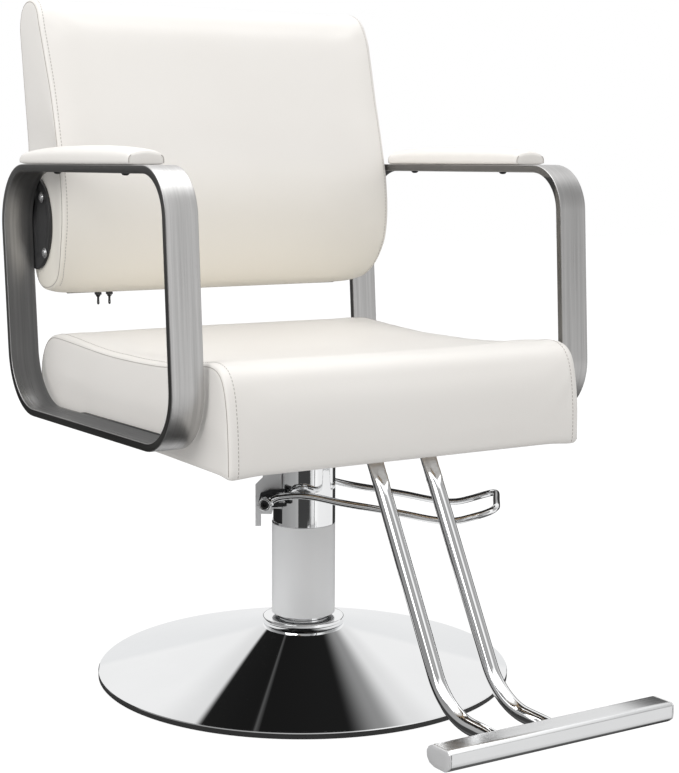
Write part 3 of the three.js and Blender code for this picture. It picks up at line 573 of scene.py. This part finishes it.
def foot_bar():
    """The aluminium tread: flat top, faceted front, two fine grooves, and a flat cap at each end."""
    corners = [[-581, 70.2, 5], [-560, 69.8, 5], [-550.5, 72.2, 4], [-545.6, 78, 4], [-544.8, 84.5, 4],
               [-548.2, 90.3, 3], [-555, 94.2, 2], [-585.0, 95, 1.6], [-588.6, 92.0, 1.2], [-589.2, 84.6, 2],
               [-588.2, 76, 4]]
    outline = rounded(corners, 4)
    notched = np.array(densify(outline, 2.2))
    notched[(notched[:, 1] > 94) & (abs(notched[:, 0] + 583.6) < 0.8), 1] -= 0.55
    notched[(notched[:, 0] < -588) & (abs(notched[:, 1] - 84.2) < 1.2), 0] += 0.5
    middle = np.array((-567.0, 82.5))

    def rings(shape, stations):
        return [[(x, *p) for p in middle + (np.array(shape) - middle) * share] for x, share in stations]
    bar = [(x, 0.985 if abs(x) > 158 else 1.0) for x in (-158.2, -157.8, -80, 0, 80, 157.8, 158.2)]
    piece(skin("tread_bar", rings(notched, bar)), BAR, "foot_bar", sharp=35)
    for side, s in SIDES:
        cap = [(s * 158.5, 0.985), (s * 158.7, 1.0), (s * 160.3, 1.0), (s * 160.8, 0.985), (s * 161, 0.96),
               (s * 161, 0.5)]
        piece(skin(f"tread_cap_{side}", rings(outline, cap)), CAP, f"foot_bar_cap_{side}", sharp=50)


# ---- cushions ------------------------------------------------------------------------------------
# Side views of the seat and back cushions, [y, z], counter-clockwise, and where their four sides meet.
SEAT_SIDE = [
    (254.2, 348.6), (263, 349.6), (272, 351.5), (288, 359), (302, 369.5), (312, 382), (318, 396), (320, 411),
    (317, 427), (309, 443), (297, 456.5), (280, 466), (262, 469), (220, 468.5), (157, 466), (71, 463.4),
    (-20, 464.6), (-90, 467.5), (-150, 473), (-200, 480), (-222, 482.4), (-238, 481.8), (-250, 478.4),
    (-260, 471.5), (-268, 459), (-273, 443), (-276.5, 425), (-279, 398), (-280.5, 360), (-279.5, 351.5)]
SEAT_HALF, SEAT_BOTTOM, POCKET_X, POCKET_TOP = 263.8, 348.6, 246.6, 381.2
BACK_SIDE = [
    (280, 531), (303, 531), (315, 535.5), (325, 545.5), (332, 560), (338, 582), (343, 620), (346, 670),
    (348, 730), (348, 790), (349, 850), (351, 890), (351, 914), (347.5, 929), (340, 939), (329, 944.8),
    (315, 946.5), (301, 944), (289.5, 938), (280, 928.5), (273.5, 916), (265, 896), (250.5, 850),
    (239.5, 813), (226, 767), (214.5, 722), (207.5, 692), (204, 665), (203.2, 640), (205.5, 615),
    (211.5, 592), (221, 571), (236, 551.5), (256, 537.5)]
BACK_FRONT_WIDTH = [(531, 266), (560, 270.5), (600, 272), (680, 271.4), (716, 271.6), (745, 273),
                    (800, 275.5), (850, 277), (905, 279), (947, 276.5)]
BACK_REAR_WIDTH = [(531, 265), (575, 266.5), (742, 266.5), (800, 270), (850, 272.5), (905, 274.5), (947, 272)]


def back_half(y, z):
    across = smoothstep(y, 210, 250)
    return lerp_table(BACK_FRONT_WIDTH, z) * (1 - across) + lerp_table(BACK_REAR_WIDTH, z) * across


def sides(dense, cuts, counts):
    """Resamples a dense closed curve so that each part between two cuts has its own count of points."""
    near = [int(np.argmin(np.linalg.norm(dense - np.array(c), axis=1))) for c in cuts]
    out = []
    for start, stop, count in zip(near, near[1:] + near[:1], counts):
        part = dense[start:stop + 1] if stop > start else np.vstack([dense[start:], dense[:stop + 1]])
        out.append(evenly(part, count)[:-1])
    return out


def shrink(outline, by):
    """Moves a closed counter-clockwise outline inwards along its own normals."""
    along = np.roll(outline, -1, 0) - np.roll(outline, 1, 0)
    along /= np.linalg.norm(along, axis=1)[:, None]
    return outline + by * np.stack([-along[:, 1], along[:, 0]], 1)


def cage(rings, across, up, end_x=None):
    """Quads over rings of 2 * (across + up) points, and a grid of quads over each end ring."""
    n = 2 * (across + up)
    points = [tuple(p) for ring in rings for p in ring]
    faces = ring_faces(len(rings), n)
    for first in (0, (len(rings) - 1) * n):
        edge = np.array(points[first:first + n])

        def rim(i, j):
            if j == 0:
                return i
            if i == across:
                return across + j
            return 2 * across + up - i if j == up else (n - j) % n if i == 0 else None
        index = {}
        for i in range(across + 1):
            for j in range(up + 1):
                k = rim(i, j)
                if k is not None:
                    index[i, j] = first + k
                    continue
                u, v = i / across, j / up
                p = ((1 - v) * edge[rim(i, 0)] + v * edge[rim(i, up)] + (1 - u) * edge[rim(0, j)]
                     + u * edge[rim(across, j)] - (1 - u) * (1 - v) * edge[0] - u * (1 - v) * edge[across]
                     - (1 - u) * v * edge[2 * across + up] - u * v * edge[across + up])
                if end_x:
                    p[0] = math.copysign(end_x(p[1], p[2]), p[0])
                index[i, j] = len(points)
                points.append(tuple(p))
        faces += [(index[i, j], index[i + 1, j], index[i + 1, j + 1], index[i, j + 1])
                  for i in range(across) for j in range(up)]
    return points, faces, n


def puff(mesh, pinned, cap, pressure=4.0):
    """Fills a skin by cloth simulation. Pinned points stay; the others move outwards, at most by cap."""
    scene = bpy.context.scene
    made = bpy.data.objects.new("skin", mesh.copy())
    scene.collection.objects.link(made)
    made.vertex_groups.new(name="pin").add([int(k) for k in pinned], 1.0, "REPLACE")
    cloth = made.modifiers.new("cloth", "CLOTH")
    for key, value in dict(quality=6, mass=0.3, tension_stiffness=12, compression_stiffness=12,
                           shear_stiffness=5, bending_stiffness=0.8, use_pressure=True,
                           uniform_pressure_force=pressure, vertex_group_mass="pin").items():
        setattr(cloth.settings, key, value)
    cloth.settings.effector_weights.gravity = 0
    cloth.collision_settings.use_collision = cloth.collision_settings.use_self_collision = False
    cloth.point_cache.frame_start, cloth.point_cache.frame_end = 1, 20
    for step in range(1, 21):
        scene.frame_set(step)
    puffed = made.evaluated_get(bpy.context.evaluated_depsgraph_get()).data
    before = np.empty(3 * len(mesh.vertices))
    after = before.copy()
    mesh.vertices.foreach_get("co", before)
    puffed.vertices.foreach_get("co", after)
    move = (after - before).reshape(-1, 3)
    normals = np.array([v.normal for v in mesh.vertices])
    move -= normals * np.minimum((move * normals).sum(1), 0)[:, None]
    size = np.linalg.norm(move, axis=1)[:, None]
    move *= cap * MM * np.tanh(size / (cap * MM)) / np.maximum(size, 1e-9)
    mesh.vertices.foreach_set("co", before + move.ravel())
    copied = made.data
    bpy.data.objects.remove(made)
    bpy.data.meshes.remove(copied)
    scene.frame_set(1)


def pucker(mesh, seams, still):
    """Small gathers along the seams and a faint unevenness everywhere, both from fixed noise."""
    height, reach, wave, drift, long_wave = 0.9, 17.0, 21.0, 0.7, 120.0
    on_seam = {k for seam in seams for k in seam}
    tree = KDTree(len(on_seam))
    for k in on_seam:
        tree.insert(mesh.vertices[k].co, k)
    tree.balance()
    normals = [v.normal.copy() for v in mesh.vertices]
    for v, normal in zip(mesh.vertices, normals):
        if v.index in on_seam or v.index in still:
            continue
        far = tree.find(v.co)[2] / MM
        gather = height * math.exp(-((far / reach) ** 2)) * noise.noise(v.co / (wave * MM))
        v.co += normal * (gather + drift * min(far / 60, 1) * noise.noise(v.co / (long_wave * MM))) * MM


def keep_inside(mesh, limit):
    """Holds every point of a mesh between the two sides |x| = limit(y, z), in millimetres."""
    for v in mesh.vertices:
        x, y, z = v.co / MM
        v.co.x = max(-limit(y, z), min(limit(y, z), x)) * MM


def seamed(name, mesh, loops, groove, width):
    """Presses a fine groove along each loop of points, then subdivides the skin once."""
    bm = bmesh.new()
    bm.from_mesh(mesh)
    bm.verts.ensure_lookup_table()
    seam = [bm.edges.get((bm.verts[a], bm.verts[b])) for loop in loops
            for a, b in zip(loop, [*loop[1:], loop[0]])]
    made = bmesh.ops.bevel(bm, geom=seam, offset=width * MM, segments=2, profile=0.5, affect="EDGES")
    strip = set(made["faces"])
    bm.normal_update()
    for v in {v for f in strip for v in f.verts}:
        if all(f in strip for f in v.link_faces):
            v.co -= v.normal * groove * MM
    bm.to_mesh(mesh)
    bm.free()
    coarse = bpy.data.objects.new(name, mesh)
    bpy.context.scene.collection.objects.link(coarse)
    coarse.modifiers.new("fine", "SUBSURF").levels = 1
    fine = bpy.data.meshes.new_from_object(coarse.evaluated_get(bpy.context.evaluated_depsgraph_get()))
    bpy.data.objects.remove(coarse)
    bpy.data.meshes.remove(mesh)
    fine.name = name
    return fine


def stitches(name, node_name, mesh, lines):
    """Short stitches lying on a mesh along each line of points in metres."""
    pitch, length, radius = 5.0, 3.6, 0.5
    tree = BVHTree.FromPolygons([v.co for v in mesh.vertices], [p.vertices for p in mesh.polygons])
    profile = [(-0.5, 0.0), (-0.42, 0.75), (-0.2, 1.0), (0.2, 1.0), (0.42, 0.75), (0.5, 0.0)]
    points, faces = [], []
    for line in lines:
        count = max(2, int(np.linalg.norm(np.diff(line, axis=0), axis=1).sum() / (pitch * MM)))
        spots = evenly(np.array(line), count)
        for a, b in zip(spots, spots[1:]):
            middle, normal = tree.find_nearest(Vector((a + b) / 2))[:2]
            along = Vector(b - a)
            along = (along - normal * along.dot(normal)).normalized()
            side = normal.cross(along)
            first = len(points)
            for t, r in profile:
                for turn in (math.pi * k / 3 for k in range(6)):
                    c, v = math.cos(turn) * radius * r, math.sin(turn) * radius * r
                    points.append(middle / MM + along * (t * length) + side * c + normal * (v * 0.8 + 0.12))
            faces += [tuple(first + q for q in f) for f in ring_faces(len(profile), 6)]
    piece(to_mesh(name, points, faces), THREAD_AND_SEAM_SHADE, node_name, extra=True)


def seam_shade_threads(name, node_name, lines):
    """The dark line of a seam: a fine dark thread sunk between its two lips, which paints the shade of the
    seam's groove.
    """
    points, faces = [], []
    for line in lines:
        rings = tube(np.array(line) / MM, 0.5, 6)
        faces += [tuple(len(points) + q for q in f) for f in ring_faces(len(rings), 6)]
        points += [tuple(p) for ring in rings for p in ring]
    piece(to_mesh(name, points, faces), THREAD_AND_SEAM_SHADE, node_name, extra=True)


def lines_on(mesh, n, stations, columns, sunk=0.0):
    """Lines of points in metres along some rings of n points, sunk below the skin by that much."""
    picked = [[mesh.vertices[station * n + k % n] for k in columns] for station in stations]
    return [[np.array(v.co - v.normal * sunk * MM) for v in line] for line in picked]


def cover(names, node_name, mesh, n, last, arcs, sunk=0.75, stitched=None, groove=1.1, width=1.3):
    """Makes a skin a padded cover with seams on its end rings, dark threads along arcs of them that paint the
    seams' shade, and stitches.
    """
    threads = [line for arc in arcs for line in lines_on(mesh, n, (0, last), arc, sunk)]
    stitch_lines = lines_on(mesh, n, (stitched[0], last - stitched[0]), stitched[1]) if stitched else []
    fine = seamed(names.format("upholstery"), mesh, end_rings(n, last), groove, width)
    made = piece(fine, LEATHER, node_name)
    if stitched:
        stitches(names.format("stitches"), node_name, fine, stitch_lines)
    # The sunk dark threads paint the shade in the seam grooves.
    seam_shade_threads(names.format("seam"), node_name, threads)


def end_rings(n, last):
    return [range(first * n, first * n + n) for first in (0, last)]


def seat():
    """The seat: a band over its front, top and rear, two side panels, and a recess below for the board."""
    rear, top, front = sides(spline(SEAT_SIDE, per=16),
                             [SEAT_SIDE[1], (280, 466), (-250, 478.4), SEAT_SIDE[-1]], [14, 55, 14, 1])[:3]
    floor_y = [-272, -263.8, -263.2, *np.linspace(-252, 243, 49), 253.7, 254.4]
    below = np.array([SEAT_SIDE[-1]] + [(y, SEAT_BOTTOM) for y in floor_y])
    outline = np.vstack([below, rear, top, front])
    across = len(below)
    recess = range(3, across - 1)

    def ring(x, by):
        s = abs(x) / SEAT_HALF
        moved = shrink(outline, by)
        if abs(x) < POCKET_X:
            moved[:across] = outline[:across]
        out = []
        for k, (y, z) in enumerate(moved):
            if k in recess and abs(x) < POCKET_X:
                out.append((x, y, POCKET_TOP))
                continue
            dip = smoothstep((250 - abs(y + 5)) / 150, 0, 1)
            z -= 22 * (1 - s**2.2) * dip * smoothstep(z, 440, 462)  # the dish, then a fuller edge
            z += 5 * smoothstep(s, 0.5, 0.8) * smoothstep(-s, -0.97, -0.82) * smoothstep(z, 440, 462) * dip
            z -= 3 * smoothstep(abs(x), 215, 262) * smoothstep(-y, 245, 278) * smoothstep(-z, -362, -349)
            out.append((x, y, z))
        return out
    half = [(x, 2.2 * smoothstep(SEAT_HALF - abs(x), 6, 70)) for x in np.linspace(0, 246.2, 26)]
    half += [(247.2, 0.0), (252.0, 0.0), (256.4, 0.0), (260.8, 0.9), (SEAT_HALF, 4.6)]
    rings = [ring(-x, by) for x, by in reversed(half[1:])] + [ring(x, by) for x, by in half]
    points, faces, n = cage(rings, across, 14, lambda y, z: SEAT_HALF)
    mesh = to_mesh("seat_skin", points, faces)
    last = len(rings) - 1
    under = {k for k, p in enumerate(points) if p[2] < SEAT_BOTTOM + 5}
    held = {k for k in range(len(rings) * n) if k % n < across or k // n < 3 or k // n > last - 3}
    puff(mesh, under | held, 4.5)
    pucker(mesh, end_rings(n, last), under | {k for k, p in enumerate(points) if abs(p[2] - POCKET_TOP) < 1})
    keep_inside(mesh, lambda y, z: SEAT_HALF + 0.1 + 3.0 * smoothstep(z, 382, 420))
    cover("seat_{}", "seat_cushion", mesh, n, last, [range(across, n + 1)],
          stitched=(3, range(across + 6, n + 1)))


def back():
    """The backrest: one band around it and two side panels, with a zip along its underside."""
    outline = np.vstack(sides(spline(BACK_SIDE, closed=True, per=16),
                              [(236, 551.5), (325, 545.5), (340, 939), (280, 928.5)], [10, 40, 10, 40]))
    inward = shrink(outline, 1) - outline

    def ring(s, d, by):
        near_zip = smoothstep(-(outline + by * inward)[:, 1], -575, -540) * (abs(s) < 1)
        by = by + (min(by, 0.3) - by) * near_zip
        out = []
        for y, z in outline + by[:, None] * inward:
            x = abs(s) * back_half(y, z) - d
            sag = 4 * (1 - abs(s) ** 10) * (600 - z) / 69 if z < 600 else 0
            if z < 545 and abs(x) < 250:  # the cover's lips on both sides of the zip
                sag += 3.2 * math.exp(-((abs(y - 300) - 14) / 6) ** 2)
            out.append((math.copysign(x, s) if s else 0.0, y, z - sag))
        return out
    half = [(k / 27, 0, 2.4 * smoothstep(1 - k / 27, 0.02, 0.24)) for k in range(27)]
    half += [(1, 6.8, 0), (1, 2.8, 1.0), (1, 0, 4.6)]
    rings = [ring(-s, d, by) for s, d, by in reversed(half[1:])] + [ring(*h) for h in half]
    points, faces, n = cage(rings, 10, 40, back_half)
    mesh = to_mesh("back_skin", points, faces)
    last = len(rings) - 1
    by_zip = {k for k, p in enumerate(points) if p[2] < 536 and 270 < p[1] < 322}
    puff(mesh, by_zip | {k for k in range(len(rings) * n) if k // n < 2 or k // n > last - 2}, 3.6)
    pucker(mesh, end_rings(n, last), {k for k, p in enumerate(points) if p[2] < 536})
    keep_inside(mesh, lambda y, z: back_half(y, z) + 0.1 + 1.5 * smoothstep(z, 745, 790))
    cover("back_{}", "back_cushion", mesh, n, last, [range(n + 1)], stitched=(2, range(52, n + 3)))


def arm_pad(side, s):
    """An arm pad: a crowned top with a seam round each end; its rear end is cut at a slant."""
    half, start, end, slant = 25.0, -123.0, 243.0, 38.0
    long = end - start
    rise = [(half, 1.5), (half, 12), (half - 2, 16.5), (half - 6.5, 19.5), (half - 14, 22)]
    corners = [(1.5 - half, 0), (half - 1.5, 0), *rise, (0, 23.4), *((-x, z) for x, z in reversed(rise))]
    section = np.vstack(sides(spline(corners, closed=True), [
        (-half, 1.5), (half, 1.5), (half - 3.4, 18), (3.4 - half, 18)], [10, 4, 10, 4]))
    tall = [(0, 0.66), (3, 0.76), (8, 0.815), (40, 0.9), (100, 0.98), (long / 2, 1)]
    wide = [(0, 0.94), (3, 0.985), (8, 1)]
    middle = ARM_IN + BAR_W / 2 + 0.4
    rings = []
    for d in [0, 3, 8, *np.linspace(17, long - 17, 36), long - 8, long - 3, long]:
        run = min(d, long - d)
        shear = slant * smoothstep(d, long - 110, long - 10)
        ring = []
        for x, z in section:
            y = start + d - shear * (0.5 - x / (2 * half))
            grown = lerp_table(tall, run) if z > 2 else 1.0
            ring.append((s * (middle + x * lerp_table(wide, run)), y, loop_top(y) + 0.35 + z * grown))
        rings.append(ring)
    points, faces, n = cage(rings, 10, 4)
    mesh = to_mesh(f"pad_skin_{side}", points, faces)
    puff(mesh, [k for k, p in enumerate(points) if p[2] < loop_top(p[1]) + 2.2], 1.6)
    cover("pad_{}_" + side, f"arm_pad_{side}", mesh, n, len(rings) - 1, [range(10, 15), range(24, 29)],
          sunk=0.4, groove=0.8, width=0.9)


# ---- stage -----------------------------------------------------------------------------------
def stage_material(name, build):
    material = bpy.data.materials.new(name)
    material.use_nodes = True
    tree = material.node_tree
    tree.nodes.clear()
    tree.links.new(build(tree), node(tree, "ShaderNodeOutputMaterial").inputs["Surface"])
    return material


def stage_piece(name, points, faces, material, hidden=("camera", "diffuse", "shadow", "transmission")):
    """A piece of the studio, in metres. Unless told otherwise, it shows only in reflections."""
    mesh = bpy.data.meshes.new(name)
    mesh.from_pydata(points, [], faces)
    mesh.materials.append(material)
    made = bpy.data.objects.new(name, mesh)
    bpy.context.scene.collection.objects.link(made)
    for rays in hidden:
        setattr(made, f"visible_{rays}", False)
    return made


def light(name, place, towards, size, watts):
    lamp = bpy.data.lights.new(name, "AREA")
    lamp.size, lamp.energy = size, watts
    made = bpy.data.objects.new(name, lamp)
    made.location = place
    made.rotation_euler = (Vector(towards) - Vector(place)).to_track_quat("-Z", "Y").to_euler()
    bpy.context.scene.collection.objects.link(made)


def ramp(tree, value, stops):
    """A smooth grey ramp: stops are (place from 0 to 1, grey), the two outermost ones first."""
    made = node(tree, "ShaderNodeValToRGB", {"Fac": value})
    made.color_ramp.interpolation = "EASE"
    elements = made.color_ramp.elements
    for k, (place, grey) in enumerate(stops):
        element = elements[k] if k < 2 else elements.new(place)
        element.position, element.color = place, (grey, grey, grey, 1)
    return made.outputs[0]


def glow(tree, colour, strength=1.0):
    return node(tree, "ShaderNodeEmission", {"Color": colour, "Strength": strength}).outputs[0]


def dome_reflection_sheet():
    """A glowing sheet just over the base, seen only in reflections: it paints the dome's reflection, bright
    with a black wedge and a thin light line in it.
    """
    def cloth(tree):
        place = node(tree, "ShaderNodeTexCoord").outputs["Object"]
        across, near = node(tree, "ShaderNodeSeparateXYZ", {"Vector": place}).outputs[:2]
        share = maths(tree, "DIVIDE", across, remap(tree, near, 0.0, 0.29, 0.041, 0.134))
        # Painted reflection for the dome: a bright tone with a black wedge and a thin light line in it.
        panel = ramp(tree, remap(tree, share, 3.0, -3.0), [
            (0.0, 0.93), (1.0, 0.93), (0.2, 0.93), (0.315, 0.8), (0.333, 0.012), (0.425, 0.01), (0.43, 0.09),
            (0.437, 0.01), (0.58, 0.012), (0.64, 0.28), (0.7, 0.8), (0.78, 0.93)])
        return glow(tree, blend(tree, remap(tree, near, 0.0, 0.02), (0.86, 0.865, 0.87, 1), panel))
    n = 96
    rings = [(59.5, 73.5, 0), (172, 43.5, 0), (286, 14.5, 0), (300, 11.5, 0), (302, 11.5, 15)]
    points = [(MM * r * math.cos(a), MM * r * math.sin(a),
               MM * (z - skirt * smoothstep(-math.sin(a), 0, 0.2)))
              for r, z, skirt in rings for a in (2 * math.pi * k / n for k in range(n))]
    made = stage_piece("dome_reflection_sheet", points, ring_faces(len(rings), n), stage_material("painted_dome_reflection", cloth))
    made.rotation_euler = (0, 0, VIEW + math.pi)


def surroundings(tree):
    """What metal mirrors: a pale room, greyer on the left, with dark panels behind and beside the chair."""
    ahead = node(tree, "ShaderNodeTexCoord").outputs["Generated"]
    turned = node(tree, "ShaderNodeVectorRotate", {"Vector": ahead, "Angle": -VIEW - math.pi / 2},
                  rotation_type="Z_AXIS").outputs[0]
    x, y, height = node(tree, "ShaderNodeSeparateXYZ", {"Vector": turned}).outputs
    share = remap(tree, maths(tree, "ARCTAN2", y, x), math.pi, -math.pi)
    low = ramp(tree, share, [
        (0.0, 0.5), (1.0, 0.5), (0.1, 0.36), (0.2, 0.3), (0.27, 0.3), (0.29, 0.05), (0.36, 0.05), (0.38, 0.6),
        (0.4, 0.65), (0.42, 0.03), (0.62, 0.03), (0.64, 0.95), (0.7, 0.9), (0.83, 0.92), (0.88, 1.05),
        (0.93, 0.6)])
    high = ramp(tree, share, [
        (0.0, 0.42), (1.0, 0.42), (0.08, 0.3), (0.2, 0.28), (0.3, 0.4), (0.38, 0.75), (0.45, 0.95),
        (0.6, 0.95), (0.7, 0.42), (0.78, 0.4), (0.84, 1.05), (0.88, 1.05), (0.91, 0.35)])
    walls = blend(tree, remap(tree, height, -0.06, 0.04), low, high)
    band = ramp(tree, share, [(0.36, 0), (0.38, 1), (0.62, 1), (0.64, 0)])
    near_level = remap(tree, height, 0.22, 0.1)
    for where, grey in ((maths(tree, "MULTIPLY", band, near_level), 0.04),
                        (remap(tree, height, -0.5, -0.78), 0.12), (remap(tree, height, 0.71, 0.87), 2.1)):
        walls = blend(tree, where, walls, (grey, grey, grey, 1))
    return walls


def studio():
    """A pale floor, soft lights, a white backdrop, and glowing cards, a glowing sheet and a room that only
    reflections show; the cards and the sheet paint reflections into the metal.
    """
    def pale(tree):
        matte = node(tree, "ShaderNodeBsdfDiffuse", {"Color": (0.14, 0.14, 0.14, 1)}).outputs[0]
        return node(tree, "ShaderNodeAddShader", {0: glow(tree, (1, 1, 1, 1), 0.94), 1: matte}).outputs[0]

    def grey_card(name, grey):
        return stage_material(name, lambda tree: glow(tree, (grey, grey, grey, 1)))
    square, below, far = [(0, 1, 2, 3)], -0.0006, 9
    corners = [(-far, -far, below), (far, -far, below), (far, far, below), (-far, far, below)]
    stage_piece("studio_floor", corners, square, stage_material("studio_floor", pale), ("glossy", "diffuse"))
    # Dim glowing cards beside the arm bars, seen only in reflections: they paint a dim reflection into the
    # arm bars.
    dim = grey_card("painted_bar_reflection", 0.2)
    for side, s in SIDES:
        stage_piece(f"card_{side}", [(s * 0.2665, y, z) for y, z in (
            (-0.2, 0.375), (0.3, 0.375), (0.3, 0.7), (-0.2, 0.7))], square, dim)
    # A dark glowing card in front of the column, seen only in reflections: it paints the dark stripe on the
    # pump head and on the chrome near it.
    stage_piece("card_front", [(-0.592, -0.516, 0.02), (-0.115, -0.809, 0.02), (-0.115, -0.809, 0.2),
                               (-0.592, -0.516, 0.2)], square, grey_card("painted_head_stripe", 0.05))
    dome_reflection_sheet()
    light("key", (-2.4, -0.9, 2.0), (0, 0, 0.5), 1.8, 24)
    light("top", (0.3, 0.1, 2.8), (0, 0, 0.4), 1.8, 15)
    world()


def world():
    made = bpy.data.worlds.new("studio")
    bpy.context.scene.world = made
    made.use_nodes = True
    tree = made.node_tree
    tree.nodes.clear()

    def background(colour):
        return node(tree, "ShaderNodeBackground", {"Color": colour, "Strength": 1.0}).outputs[0]

    def by_ray(kind, others, these):
        rays = node(tree, "ShaderNodeLightPath").outputs[f"Is {kind} Ray"]
        return node(tree, "ShaderNodeMixShader", {0: rays, 1: others, 2: these}).outputs[0]
    ahead = node(tree, "ShaderNodeTexCoord").outputs["Generated"]
    height = node(tree, "ShaderNodeSeparateXYZ", {"Vector": ahead}).outputs[2]
    soft = ramp(tree, remap(tree, height, -1.0, 1.0), [
        (0.0, 0.67), (1.0, 1.0), (0.45, 0.64), (0.55, 0.66), (0.75, 0.78)])
    seen = by_ray("Camera", by_ray("Glossy", background(soft), background(surroundings(tree))),
                  background((1, 1, 1, 1)))
    tree.links.new(seen, node(tree, "ShaderNodeOutputWorld").inputs["Surface"])


def camera():
    """The photograph's place and lens: 31.5 degrees to the sitter's right, 8.2 degrees above level."""
    pitch, roll = math.radians(8.158), math.radians(0.326)
    ahead = Vector((-math.sin(VIEW) * math.cos(pitch), math.cos(VIEW) * math.cos(pitch), -math.sin(pitch)))
    level = ahead.cross(Vector((0, 0, 1))).normalized()
    upright = level.cross(ahead)
    right = level * math.cos(roll) + upright * math.sin(roll)
    above = upright * math.cos(roll) - level * math.sin(roll)
    data = bpy.data.cameras.new("camera")
    data.lens, data.clip_start, data.clip_end = 77.14, 0.1, 60
    made = bpy.data.objects.new("camera", data)
    bpy.context.scene.collection.objects.link(made)
    made.matrix_world = Matrix.Translation((-1.1528, -1.9788, 0.7361)) @ Matrix(
        (right, above, -ahead)).transposed().to_4x4()
    bpy.context.scene.camera = made
    bpy.context.scene.view_settings.view_transform = "Standard"


base_and_column()
foot_lever()
for side_name, sign in SIDES:
    for build in (arm_frame, pad_screws, arm_pad, back_bracket, foot_tube):
        build(side_name, sign)
foot_bar()
seat()
back()
details()
studio()
camera()
